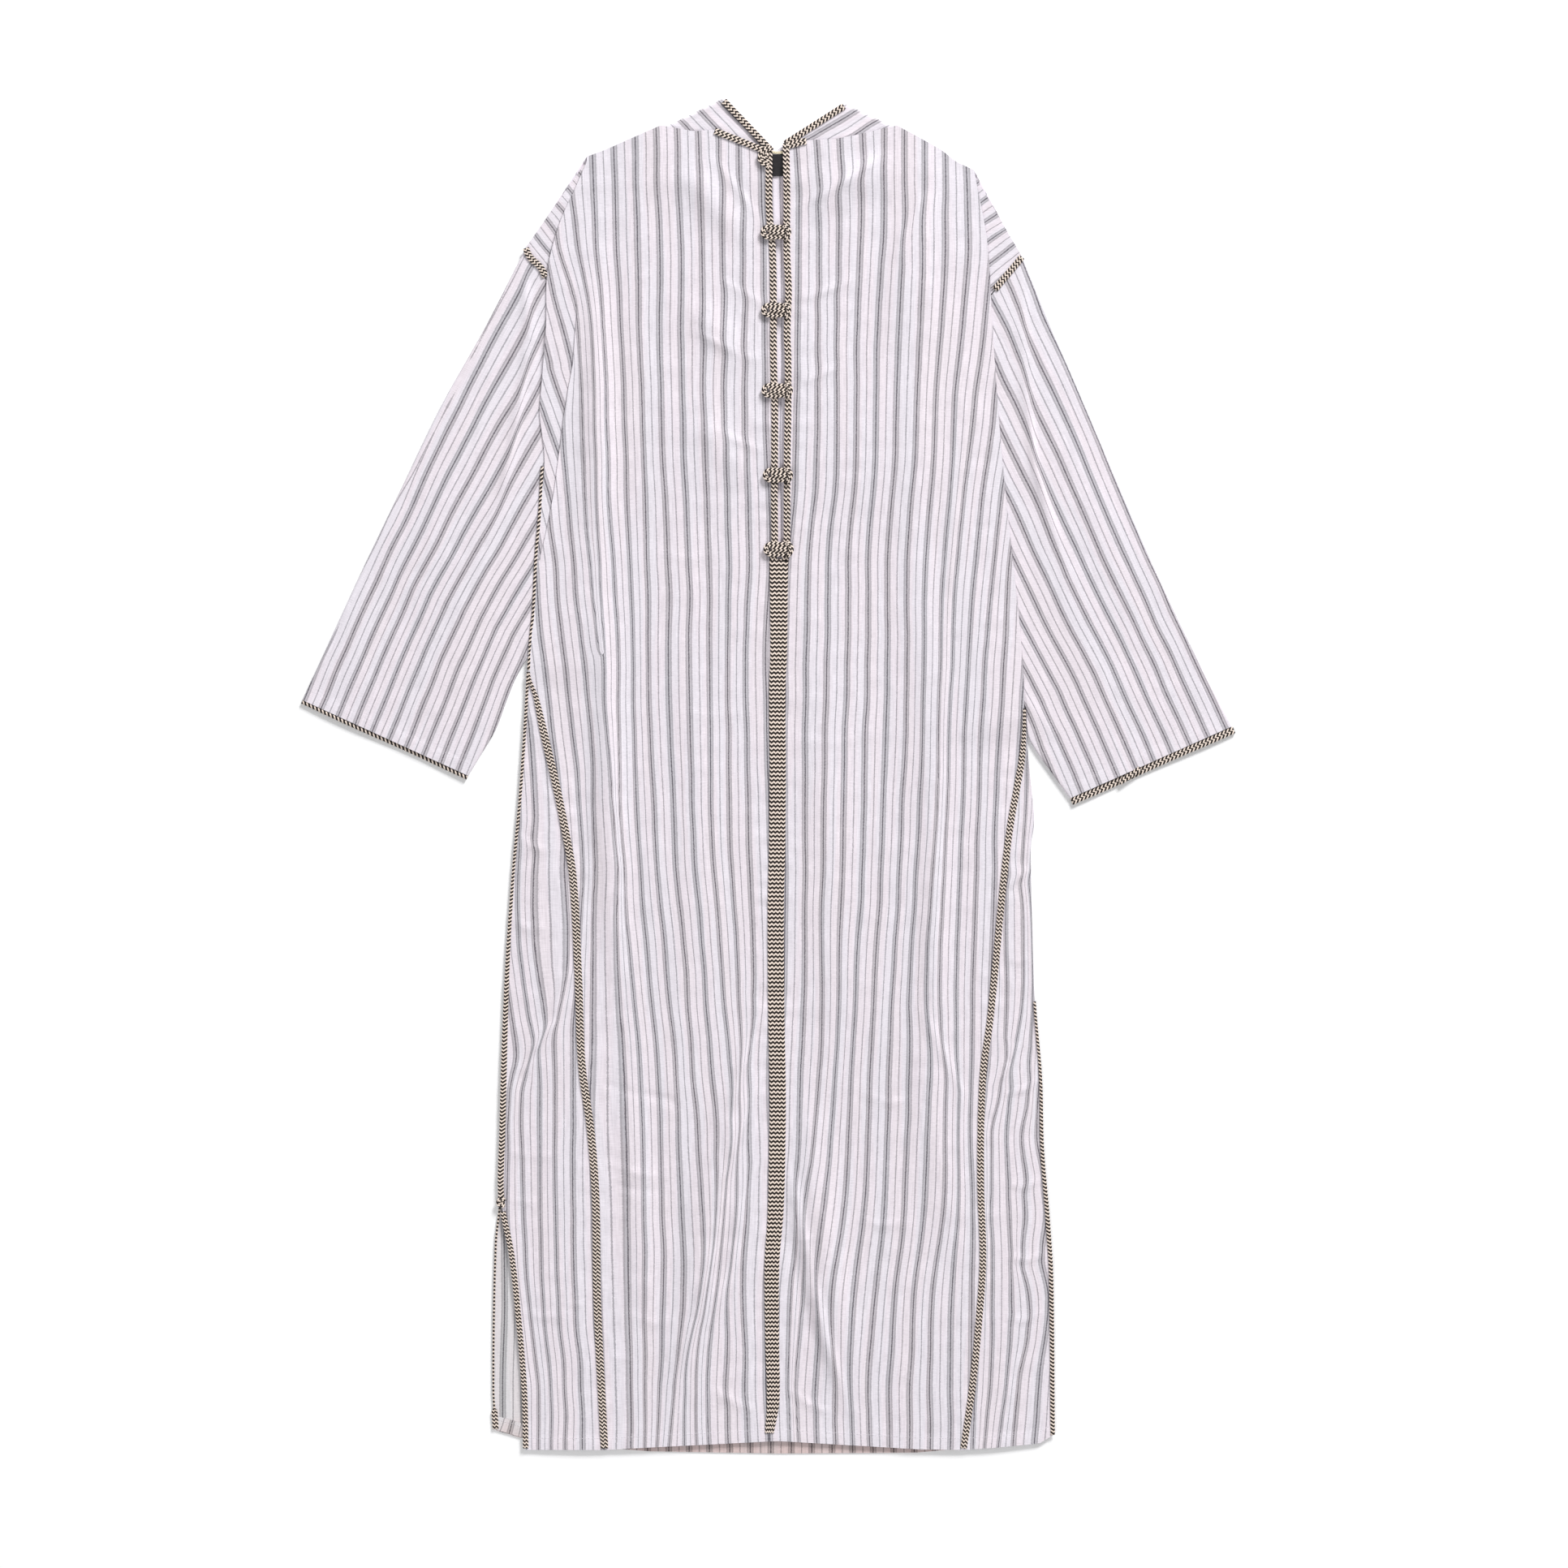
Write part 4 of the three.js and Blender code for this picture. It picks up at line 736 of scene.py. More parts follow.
def plaited_braid():
    """Flat braid of glazed cotton yarn, cream and near-black strands plaited slantwise, slightly glossy.
    Its UV holds how far a strand leans at a place, and the distance along the braid."""
    material, tree = new_material("plaited_cotton_braid")
    lay = add(tree, "ShaderNodeUVMap", uv_map="lay")["UV"]
    parts = add(tree, "ShaderNodeSeparateXYZ", [("Vector", lay)])
    along = add(
        tree,
        "ShaderNodeMath",
        [(0, parts["X"]), (1, PLAIT_SLANT), (2, parts["Y"])],
        operation="MULTIPLY_ADD",
    )["Value"]
    turns = add(tree, "ShaderNodeMath", [(0, along), (1, 1 / (PLAIT * MM))], operation="MULTIPLY")["Value"]
    place = add(tree, "ShaderNodeMath", [(0, turns)], operation="FRACT")["Value"]
    strands = add(tree, "ShaderNodeValToRGB", [("Fac", place)], STRANDS)["Color"]
    fibre = add(
        tree, "ShaderNodeTexNoise", [("Vector", lay), ("Scale", YARN_CELLS), ("Detail", 2.0)]
    )["Fac"]
    worn = add(
        tree,
        "ShaderNodeMapRange",
        [("Value", fibre), ("From Min", 0.3), ("From Max", 0.7), ("To Min", 0.82), ("To Max", 1.05)],
    )["Result"]
    yarn = add(tree, "ShaderNodeVectorMath", [(0, strands), (1, worn)], operation="MULTIPLY")["Vector"]
    bump = add(
        tree, "ShaderNodeBump", [("Height", fibre), ("Strength", 0.4), ("Distance", 0.15 * MM)]
    )["Normal"]
    surface = add(
        tree,
        "ShaderNodeBsdfPrincipled",
        [
            ("Base Color", yarn), ("Roughness", 0.62), ("Sheen Weight", 0.1), ("Specular IOR Level", 0.35),
            ("Normal", bump),
        ],
    )["BSDF"]
    add(tree, "ShaderNodeOutputMaterial", [("Surface", surface)])
    return material


def fine_thread(name, cells, stretch, shades, rough, gloss, relief):
    """A plain material of fine threads: a noise of so many cells to a metre, stretched along the
    threads, shades it between two colours and raises it by its relief in millimetres."""
    material, tree = new_material(name)
    spot = add(tree, "ShaderNodeTexCoord")["Object"]
    drawn = add(tree, "ShaderNodeMapping", [("Vector", spot), ("Scale", stretch)])["Vector"]
    threads = add(tree, "ShaderNodeTexNoise", [("Vector", drawn), ("Scale", cells), ("Detail", 1.0)])["Fac"]
    dark, pale = shades
    shade = add(tree, "ShaderNodeValToRGB", [("Fac", threads)], [(0.3, dark), (0.7, pale)])["Color"]
    strength, height = relief
    bump = add(
        tree, "ShaderNodeBump", [("Height", threads), ("Strength", strength), ("Distance", height * MM)]
    )["Normal"]
    surface = add(
        tree,
        "ShaderNodeBsdfPrincipled",
        [("Base Color", shade), ("Roughness", rough), ("Specular IOR Level", gloss), ("Normal", bump)],
    )["BSDF"]
    add(tree, "ShaderNodeOutputMaterial", [("Surface", surface)])
    return material


EVENLY = (1, 1, 1)

COTTON = striped_cotton("striped_cotton")
INSIDE = striped_cotton("striped_cotton_inside", True)
BRAID = plaited_braid()
# Satin-woven polyester tape: smooth and faintly lustrous, with fine threads across.
TAPE = fine_thread("black_satin_tape", 1.0, SATIN_CELLS, ("1B191C", "2A272B"), 0.42, 0.5, (0.3, 0.1))
# Spun polyester sewing thread: matt, with a tight twist.
THREAD_WHITE = fine_thread(
    "white_sewing_thread", TWIST_CELLS, EVENLY, ("D2CDD4", "EAE5EB"), 0.6, 0.5, (0.3, 0.08)
)
# Plain tan cotton cord on the bias: matt and a little ribbed.
CORD_TAN = fine_thread("tan_cotton_cord", CORD_CELLS, EVENLY, ("C9B994", "EFE6CE"), 0.75, 0.5, (0.4, 0.2))

# ---------------------------------------------------------------- meshes

WHOLE_TURN = 0.97  # a face whose corners are further apart than this share of a repeat hides one
SHARP_EDGE = math.radians(50)


def unwound(corners):
    """Drops whole repeats that a fold hides between the corners of one face."""
    turns = (corners[:, :, 0] - corners[:, :1, 0]) / REPEAT
    across = corners[:, :, 0] - REPEAT * np.where(np.abs(turns) > WHOLE_TURN, np.round(turns), 0)
    return np.stack([across, corners[:, :, 1]], axis=-1)


def make_piece(name, points, quads, uv, material, slot, nodes=()):
    """Puts points in millimetres and four-cornered faces into a mesh that rides on the robe."""
    mesh = bpy.data.meshes.new(name)
    mesh.vertices.add(len(points))
    mesh.vertices.foreach_set("co", (np.asarray(points) * MM).astype(np.float32).ravel())
    mesh.loops.add(quads.size)
    mesh.loops.foreach_set("vertex_index", quads.astype(np.int32).ravel())
    mesh.polygons.add(len(quads))
    mesh.polygons.foreach_set("loop_start", np.arange(0, quads.size, 4, dtype=np.int32))
    mesh.update(calc_edges=True)
    if uv is not None:
        layer = mesh.uv_layers.new(name="lay")
        corners = np.asarray(uv)[quads]
        if slot.startswith("cloth"):
            corners = unwound(corners)
        layer.data.foreach_set("uv", (corners * MM).astype(np.float32).ravel())
    mesh.validate()
    mesh.shade_smooth()
    mesh.set_sharp_from_angle(angle=SHARP_EDGE)
    mesh.materials.append(material)
    piece = bpy.data.objects.new(name, mesh)
    bpy.context.scene.collection.objects.link(piece)
    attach(piece, "root")
    if nodes:
        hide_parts(*nodes)
    return piece


def grid_quads(rows, columns, first=0, turned=False):
    """Faces between neighbouring points of a grid that is stored row by row."""
    a = first + np.arange(rows - 1)[:, None] * columns + np.arange(columns - 1)
    quads = np.stack([a, a + 1, a + columns + 1, a + columns], axis=-1).reshape(-1, 4)
    return quads[:, ::-1] if turned else quads


def outward(points, quads):
    """Turns all the faces round where the closed shape's volume comes out negative."""
    a, b, c, d = (points[quads[:, k]] for k in range(4))
    halves = np.cross(b, c) + np.cross(c, d)
    volume = np.einsum("ij,ij->i", a, halves).sum()
    return quads if volume > 0 else quads[:, ::-1]


def cloth_shell(x, y, low, high, uv):
    """A closed wall of cloth over a grid: an upper and a lower skin, joined by a wall round the edge."""
    rows, columns = x.shape
    count = x.size
    top = np.stack([x, y, high], axis=-1).reshape(-1, 3)
    under = np.stack([x, y, low], axis=-1).reshape(-1, 3)
    index = np.arange(count).reshape(rows, columns)
    rim = np.concatenate([index[0, :-1], index[:-1, -1], index[-1, :0:-1], index[:0:-1, 0]])
    ahead = np.roll(rim, -1)
    walls = np.stack([rim, ahead, ahead + count, rim + count], axis=-1)
    quads = np.concatenate([grid_quads(rows, columns, 0, True), grid_quads(rows, columns, count), walls])
    points = np.concatenate([top, under])
    return points, outward(points, quads), np.concatenate([uv, uv])


def panel(name, x, y, under, lay, material, slot, thick=CLOTH_THICK):
    """A cloth panel over a grid of places. lay(x, y) gives the stripe number, which with y is the UV."""
    low = under(x, y)
    uv = np.stack([lay(x, y) * REPEAT, y], axis=-1).reshape(-1, 2)
    points, quads, uv = cloth_shell(x, y, low, low + thick, uv)
    return make_piece(f"{name}_cloth", points, quads, uv, material, slot, [name])


def spaced(low, high, step):
    """Evenly spaced values, no more than a step apart."""
    return np.linspace(low, high, int(math.ceil(abs(high - low) / step)) + 1)


def hem_drop(hem, x, stop):
    """How far a row is moved to follow the hem: nothing above the blend, and all of it at the last row."""
    return (line(hem, x) - HEM) * smooth((HEM + HEM_BLEND - stop) / HEM_BLEND)


# ---------------------------------------------------------------- body panels

NECK_BLEND = (520, 110)  # the front's rows bend to the neckline over this much above this place
BACK_NECK_BLEND = (570, 60)
BACK_TOP = 641
FRONT_ACROSS = 265  # width of each panel, which gives the number of its columns
PLEAT_ACROSS = 40  # and of the part beyond the pleat
GORE_ACROSS = 90
BACK_ACROSS = 520


def shares(wide, step):
    """Evenly spaced shares across a panel, one to each step of its width."""
    return np.linspace(0, 1, int(wide / step))[None, :]


def front_grid(side, step):
    """Rows down the front from the neckline to the hem, each from the slit's edge to the outer cut. On
    the left two columns meet at the pleat's fold."""
    stops = spaced(side.corner, HEM, step)[:, None]
    share = shares(FRONT_ACROSS, step)
    inner = shares(FRONT_ACROSS - PLEAT_ACROSS, step)
    outer = shares(PLEAT_ACROSS, step)

    def across(y):
        start = slit_place(side, y, SEAM)
        end = curve(side.cut, y) - side.away * SEAM
        if side is RIGHT:
            return mix(start, end, share)
        fold = np.maximum(pleat_place(y), mix(end, start, 0.03))[:, :1]
        within = mix(start[:, :1], fold, inner)
        beyond = mix(fold - PLEAT_EDGE, end[:, :1], outer)
        return np.concatenate([within, beyond], axis=1)

    guess = across(stops)
    foot, over = NECK_BLEND
    rise = (line(side.neckline, guess) - side.corner) * smooth((stops - foot) / over)
    y = stops + rise + hem_drop(FRONT_HEM, guess, stops)
    return across(y), y


def front_gore_grid(side, step):
    """Rows down a front gore, each from the front's seam to the outline."""
    stops = spaced(side.underarm - 6, HEM, step)[:, None]
    share = shares(GORE_ACROSS, step)

    def across(y):
        return mix(curve(side.cut, y) + side.away * SEAM, curve(side.outline, y), share)

    y = stops + hem_drop(FRONT_HEM, across(stops), stops)
    return across(y), y


def back_edge(side, y):
    """The back's side edge: down the shoulder cap, the armhole and then the gore seam."""
    inset = 0.5 * side.away
    corner_y, corner_x = side.cut[0]
    underarm_x = float(curve(side.cut, side.underarm))
    stops = [(corner_y, corner_x), (side.underarm, underarm_x - inset)]
    stops += [(arm_y, arm_x - inset) for arm_x, arm_y in side.armhole]
    return np.where(y > side.underarm, line(stops, y), curve(side.cut, y) - side.away * SEAM)


def back_grid(step):
    """Rows down the back from its neck to the hem, each from one side edge to the other."""
    stops = spaced(BACK_TOP, HEM, step)[:, None]
    share = shares(BACK_ACROSS, step)

    def across(y):
        return mix(back_edge(LEFT, y), back_edge(RIGHT, y), share)

    guess = across(stops)
    foot, over = BACK_NECK_BLEND
    rise = (line(BACK_NECK, guess) - BACK_TOP) * smooth((stops - foot) / over)
    y = stops + rise + hem_drop(BACK_HEM, guess, stops)
    return across(y), y


def back_gore_grid(side, step):
    """Rows down a back gore, each from the seam to its own outline."""
    stops = spaced(side.underarm - 6, HEM, step)[:, None]
    share = shares(GORE_ACROSS, step)

    def across(y):
        return mix(curve(side.cut, y) + side.away * GAP, curve(side.back_outline, y), share)

    y = stops + hem_drop(BACK_HEM, across(stops), stops)
    return across(y), y


# How many stripes there are to the pleat's fold at a place down it, and the spacing left of it.
PLEAT_LAY = [(490, 9.1), (426, 10), (382.5, 11), (334, 12), (283, 13), (231, 14), (200, 14.6)]
PLEAT_REPEAT = 23
BACK_STRIPE = 0.12  # how far right of the frame's middle one of the back's stripes is, in repeats


def front_lay(side, lay):
    """Stripes of a front: the lay's lines, with the cloth that the creases hide. Left of the pleat
    down from the left shoulder they slant, and are counted from the pleat."""

    def read(x, y):
        _, pull = creased(FRONT_CREASES, x, y)
        jitter = 1.1 * ripple(x, y, 60, 70, 5) + 0.6 * ripple(x, y, 44, 36, 6)
        number = stripe_number(lay, side.away, x + pull + jitter, y)
        if side is RIGHT:
            return number
        pleat = pleat_place(y)
        slanting = line(PLEAT_LAY, y) + (pleat - x + jitter) / PLEAT_REPEAT
        beyond = (x < pleat - 0.3) * smooth((505 - y) / 40) * (y > 225)
        return mix(number, slanting, beyond)

    return read


def gore_lay(side, lay):
    """Stripes of a gore: the lay's lines, with the cloth that the creases hide."""

    def read(x, y):
        _, pull = creased(GORE_CREASES, x, y)
        jitter = 1.0 * ripple(x, y, 60, 60, 7) + 0.7 * ripple(x, y, 44, 30, 8)
        return stripe_number(lay, side.away, x + pull + jitter, y)

    return read


def front_under(x, y):
    """The front's underside with its turned hem."""
    return front_height(x, y) + hem_turn(x, y, FRONT_HEM)


def back_lay(x, y):
    """Stripes of the back: one to each repeat, which waver a little and are drawn aside at creases."""
    _, pull = creased(BACK_CREASES, x, y)
    return (x + pull + 1.2 * ripple(x, y, 60, 90, 9)) / REPEAT - BACK_STRIPE


TURNED_HEM = (-284, -174)  # from the braid at the slit to just under the front


def turned_hem():
    """The back's hem where the open slit shows its inside: a strip of the cloth turned up over itself,
    from the braid at the slit to just under the front."""
    x = spaced(*TURNED_HEM, 2.5)[None, :]
    up = np.linspace(0.9, HEM_DEEP, 6)[:, None]
    y = line(BACK_HEM, x) + up
    x = x + 0 * up
    low = back_top(x, y) + 0.04 + 0.12 * (1 + ripple(x, y, 12, 8, 44))
    number = (0.3 * y - x + 1.5 * ripple(x, y, 18, 18, 45)) / REPEAT
    uv = np.stack([number * REPEAT, y], axis=-1).reshape(-1, 2)
    points, quads, uv = cloth_shell(x, y, low, low + HEM_THICK, uv)
    return make_piece("back_hem_turned_up", points, quads, uv, INSIDE, "cloth_inside")


def turned_hem_top(x, y):
    """Where stitches lie on the turned-up hem."""
    return back_top(x, y) + HEM_THICK + 0.26


CAP_LONG = 120  # the dropped shoulder's length and width, which give the number of its points
CAP_WIDE = 60


def cap_grid(side, step):
    """The dropped shoulder beyond the front's pleat, down to the armhole seam."""
    (top_x, top_y), (_, turn_y), _ = side.armhole
    corner_y, corner_x = side.cut[0]
    down = shares(CAP_LONG, step).T
    share = shares(CAP_WIDE, step)
    inner_y = mix(side.cap_inner[0][0], turn_y + 0.6, down)
    x = mix(mix(corner_x, top_x, down), line(side.cap_inner, inner_y), share)
    return x, mix(mix(corner_y - 4, top_y + 0.6, down), inner_y, share)


CAP_LAY = {  # the stripes' direction across, the place of one of them and their spacing
    "left": (0.78, 0.62, 160.6, 19.3),
    "right": (0.61, -0.79, -281.3, 18.8),
}


def cap_under(x, y):
    """The dropped shoulder's underside, nearly level."""
    return FRONT_REST + SKIN_UP + 0.25 * ripple(x, y, 18, 18, 41)


def cap_lay(side):
    """Slanting stripes of a dropped shoulder, evenly spaced."""
    along_x, along_y, start, spacing = CAP_LAY[side.name]

    def read(x, y):
        return (along_x * x + along_y * y - start + 1.5 * ripple(x, y, 24, 24, 42)) / spacing

    return read


# ---------------------------------------------------------------- sleeves

SLEEVE_LAY = {  # rows of: share along the top fold, first stripe's distance from it, spacing
    "left": [(0, 14, 22.5), (0.2, 11.3, 23), (0.4, 11, 21.7), (0.6, 13.6, 19.8), (0.7, 14, 19.2),
             (0.8, 15.7, 19.2), (0.9, 17.9, 19.6), (1, 20.8, 19.8)],
    "right": [(0, 1, 22.5), (0.2, 4.3, 22.5), (0.4, 5.5, 22.1), (0.6, 8.9, 21.2), (0.7, 9.2, 20.7),
              (0.8, 8.9, 20.2), (0.9, 8.5, 20.3), (1, 7.6, 20.7)],
}

SLEEVE_WIDE = 215
SLEEVE_ROWS = 560  # the length that a sleeve's rows are counted over
SLEEVE_START = 1.1 / 500  # its first row, as a share of the way to the cuff


def turn_share(side):
    """The armhole's turn, as a share of the way from its top to the underarm."""
    top, turn, low = side.armhole
    first = math.dist(top, turn)
    return first / (first + math.dist(turn, low))


def sleeve_place(side, s, t):
    """The Coons patch of a sleeve's four edges: s from the top fold to the seam, t down to the cuff."""
    top, turn, low = (np.array(p, float) for p in side.armhole)
    bend = turn_share(side)
    cuff_top = np.array(side.sleeve_top[-1][::-1], float)
    cuff_low = np.array(side.sleeve_low[-1][::-1], float)
    high_y = mix(top[1], cuff_top[1], t)
    low_y = mix(low[1], cuff_low[1], t)
    high = (curve(side.sleeve_top, high_y), high_y)
    under = (curve(side.sleeve_low, low_y), low_y)
    place = []
    for k in (0, 1):
        upper = mix(top[k], turn[k], s / bend)
        lower = mix(turn[k], low[k], (s - bend) / (1 - bend))
        start = np.where(s < bend, upper, lower)
        end = mix(cuff_top[k], cuff_low[k], s)
        corners = mix(mix(top[k], low[k], s), end, t)
        place.append(mix(start, end, t) + mix(high[k], under[k], s) - corners)
    return place


def sleeve_lay(side):
    """Stripes of a sleeve: the distance from the top fold's chord, in the spacing that the table gives."""
    table = np.array(SLEEVE_LAY[side.name], float)
    start = np.array(side.sleeve_top[0][::-1], float)
    run = np.array(side.sleeve_top[-1][::-1], float) - start
    length = math.hypot(*run)

    def read(x, y):
        _, pull = creased(SLEEVE_CREASES, x, y)
        x = x + pull
        along = ((x - start[0]) * run[0] + (y - start[1]) * run[1]) / length**2
        far = np.abs((x - start[0]) * run[1] - (y - start[1]) * run[0]) / length
        far = far + 0.9 * ripple(x, y, 30, 40, 51)
        first = np.interp(along, table[:, 0], table[:, 1])
        return (far - first) / np.interp(along, table[:, 0], table[:, 2])

    return read


def sleeve_rise(side, x, y):
    """Folds, creases and waves of a sleeve's upper layer, calm along its two folded edges."""
    height, _ = creased(SLEEVE_CREASES, x, y)
    return ridges(SLEEVE_FOLDS, x, y) + height + 0.7 * soft_waves(x, y, 61 + side.away)


def sleeve(side, step=4.0):
    """A flat tube: rings of an upper and a lower layer with a thin hollow between them, rounded at
    both folds by a half circle in section, and open at the armhole and the cuff."""
    width = SLEEVE_WIDE
    curl = SLEEVE_THICK / 2
    rim = np.array([0, 0.25, 0.8, 1.7]) / width
    middle = np.linspace(0, 1, int(width / step))[1:-1]
    middle = middle[(middle > rim[-1]) & (middle < 1 - rim[-1])]
    across = np.concatenate([rim, middle, 1 - rim[::-1]])
    down = spaced(SLEEVE_START, 1, step / SLEEVE_ROWS)[:, None]
    s = across[None, :] + 0 * down
    x, y = sleeve_place(side, s, down + 0 * s)
    from_fold = np.minimum(s, 1 - s) * width
    dome = np.sqrt(np.clip(1 - (1 - np.clip(from_fold / curl, 0, 1)) ** 2, 0, 1))
    still = smooth((from_fold - 3) / 12)
    cuff_y, cuff_x = side.sleeve_top[-1]
    run_y, run_x = np.subtract(side.sleeve_low[-1], side.sleeve_top[-1])
    from_cuff = np.abs((x - cuff_x) * run_y - (y - cuff_y) * run_x) / math.hypot(run_x, run_y)
    turned = 0.3 * (1 - smooth((from_cuff - HEM_STITCH) / 2)) - stitch_dip(from_cuff - HEM_STITCH, x + y)
    top = curl + curl * dome + (sleeve_rise(side, x, y) + turned) * still
    low = curl - curl * dome
    thin = CLOTH_THICK * np.clip(dome, 0.2, 1)
    kept = 1 - 0.5 / width * (1 - dome)
    in_x = mix(x[:, ::-1], x, kept)
    in_y = mix(y[:, ::-1], y, kept)
    outer = [np.stack([x, y, top], -1), np.stack([x, y, low], -1)[:, ::-1]]
    inner = [np.stack([in_x, in_y, top - thin], -1), np.stack([in_x, in_y, low + thin], -1)[:, ::-1]]
    number = sleeve_lay(side)(x, y) * REPEAT
    along = np.hypot(x - side.armhole[0][0], y - side.armhole[0][1])
    uv_top = np.stack([number, along], -1)
    uv_low = np.stack([-number, along], -1)[:, ::-1]
    ring_out = np.concatenate([outer[0], outer[1][:, 1:-1]], axis=1)
    ring_in = np.concatenate([inner[0], inner[1][:, 1:-1]], axis=1)
    ring_uv = np.concatenate([uv_top, uv_low[:, 1:-1]], axis=1)
    rows, count = ring_out.shape[:2]
    start = np.arange(count)
    ahead = np.roll(start, -1)
    row = np.arange(rows - 1)[:, None] * count
    a = row + start
    b = row + ahead
    skin = np.stack([a, b, b + count, a + count], -1).reshape(-1, 4)
    shift = rows * count
    first = np.stack([start, start + shift, ahead + shift, ahead], -1)
    last = (first + (rows - 1) * count)[:, ::-1]
    quads = np.concatenate([skin, skin[:, ::-1] + shift, first, last])
    points = np.concatenate([ring_out.reshape(-1, 3), ring_in.reshape(-1, 3)])
    uv = np.concatenate([ring_uv.reshape(-1, 2)] * 2)
    name = f"sleeve_{side.name}"
    return make_piece(f"{name}_cloth", points, outward(points, quads), uv, COTTON, "cloth", [name])


# ---------------------------------------------------------------- hood

HOOD_LAY = {  # a point on the braided edge, the direction along it, and the first stripe's distance
    "left": ((-46.3, 709.5), (0.69, -0.72), 6.5),
    "right": ((79.5, 704), (-0.86, -0.51), 12.6),
}


def hood(side, step=3.0):
    """Half of the hood as one folded wall. Its section stands along Y: out from under the neckline,
    round the upper edge and down behind the back, where the hidden layers are a slab."""
    x = spaced(side.hood_top[0][0], side.hood_top[-1][0], step)
    top_z = FLAP_UNDER + WALL
    curl = top_z / 2
    top = line(side.hood_top, x)
    low = curve(side.hood_low, x)
    tuck = np.minimum(line(side.neckline, x), top) - 8
    turn = np.radians(np.linspace(90, -90, 9))
    flap = np.linspace(0, 1, 16)
    section = []
    for share in flap:  # the flap's upper face
        section.append((mix(tuck, top - curl, share), top_z + 0 * x, share))
    for angle in turn[1:-1]:
        section.append((top - curl + curl * np.cos(angle), curl + curl * np.sin(angle) + 0 * x, 1))
    behind = np.linspace(0, 1, 50)
    for share in behind:  # the face that rests
        section.append((mix(top - curl, low + 2, share), 0 * x, -1))
    section.append((low, HOOD_THICK / 2 + 0 * x, -1))
    for share in behind[::-1]:  # and the slab's upper face, back up to the fold
        section.append((mix(top - curl - 2, low + 2, share), HOOD_THICK + 0 * x, -1))
    section.append((top - curl + 0.6, HOOD_THICK + 0.6 + 0 * x, -1))
    section.append((top - curl + 0.6, FLAP_UNDER - 0.6 + 0 * x, -1))
    for share in flap[::-1]:
        section.append((mix(tuck, top - curl - 2, share), FLAP_UNDER + 0 * x, -1))
    y = np.stack([row[0] for row in section])
    z = np.stack([row[1] for row in section])
    grid_x = np.broadcast_to(x, y.shape)
    upper = np.array([row[2] for row in section])[:, None]
    wave = 0.5 * ripple(grid_x, y, 26, 14, 71) + 0.35 * ripple(grid_x, y, 12, 30, 72)
    z = z + np.where(upper >= 0, wave * smooth((upper + 0.02) / 0.2) * smooth((1.02 - upper) / 0.2), 0)
    (px, py), (dx, dy), first = HOOD_LAY[side.name]
    far = np.abs((grid_x - px) * dy - (y - py) * dx)
    number = (far - first + 1.2 * ripple(grid_x, y, 30, 20, 73)) / REPEAT
    uv = np.stack([number * REPEAT, y], -1)
    rows, columns = y.shape
    points = np.stack([grid_x, y, z], -1).reshape(-1, 3)
    a = np.arange(rows)[:, None] * columns + np.arange(columns - 1)
    b = np.roll(np.arange(rows), -1)[:, None] * columns + np.arange(columns - 1)
    skin = np.stack([a, b, b + 1, a + 1], -1).reshape(-1, 4)
    ends = []
    count = rows // 2
    for column, turned in ((0, False), (columns - 1, True)):
        ring = np.arange(rows) * columns + column
        near = ring[:count]
        far_side = ring[::-1][:count]
        strip = np.stack([near[:-1], near[1:], far_side[1:], far_side[:-1]], -1)
        ends.append(strip if turned else strip[:, ::-1])
    quads = outward(points, np.concatenate([skin, *ends]))
    name = f"hood_{side.name}"
    return make_piece(f"{name}_cloth", points, quads, uv.reshape(-1, 2), COTTON, "cloth", [name])


# ---------------------------------------------------------------- braid


def resample(path, step):
    """Points evenly spaced along a path, a step apart, through a curve that keeps its bends soft."""
    path = np.asarray(path, float)
    far = np.concatenate([[0], np.cumsum(np.linalg.norm(np.diff(path, axis=0), axis=1))])
    at = np.linspace(0, far[-1], max(int(far[-1] / step), 4) + 1)
    places = [curve(np.stack([far, values], -1).tolist(), at) for values in path.T]
    return np.stack(places, -1), at


THIRDS = np.array([0, 1 / 3, 2 / 3])

# Over a braid's section, from -1 to 1, the strands of both halves slant the same way, with a short
# return between them. The lean is a share of half the braid's width.
PLAIT_SECTION = np.array([-1, -0.6, -0.18, 0, 0.18, 0.6, 1])
PLAIT_LEAN = np.array([1, 0.5, 0, 0.5, 1, 0.5, 0])

# Below the slit the strands of the three braids zigzag over eight columns. Each braid has this share
# of them, and its section's places are counted in columns from the left.
BAND_COLUMN = 2.24  # width of a column
BAND_SHARE = 8 / 3
BAND_PLACES = {
    "left": np.array([0, 0.5, 1, 1.5, 2, 2.33, BAND_SHARE]),
    "middle": np.array([BAND_SHARE, 3, 3.5, 4, 4.5, 5, 2 * BAND_SHARE]),
    "right": np.array([2 * BAND_SHARE, 5.67, 6, 6.5, 7, 7.5, 8]),
}


def band_weave(place):
    """A braid of the band: its section's places from -1 to 1, and how far its strands lean there."""
    columns = BAND_PLACES[place]
    return 2 * (columns - columns[0]) / BAND_SHARE - 1, BAND_COLUMN * np.abs(columns % 2 - 1)


def turned_weave(half, turned):
    """A braid turned over an edge: the strands that show lean outward from its middle, where the two
    halves of its section meet."""
    turn = np.clip(-turned / half, -0.8, 0.8)[:, None]
    u = np.concatenate([mix(-1, turn, THIRDS), mix(turn, 1, THIRDS), 1 + 0 * turn], axis=1)
    return u, np.abs(u * half[:, None] + turned)


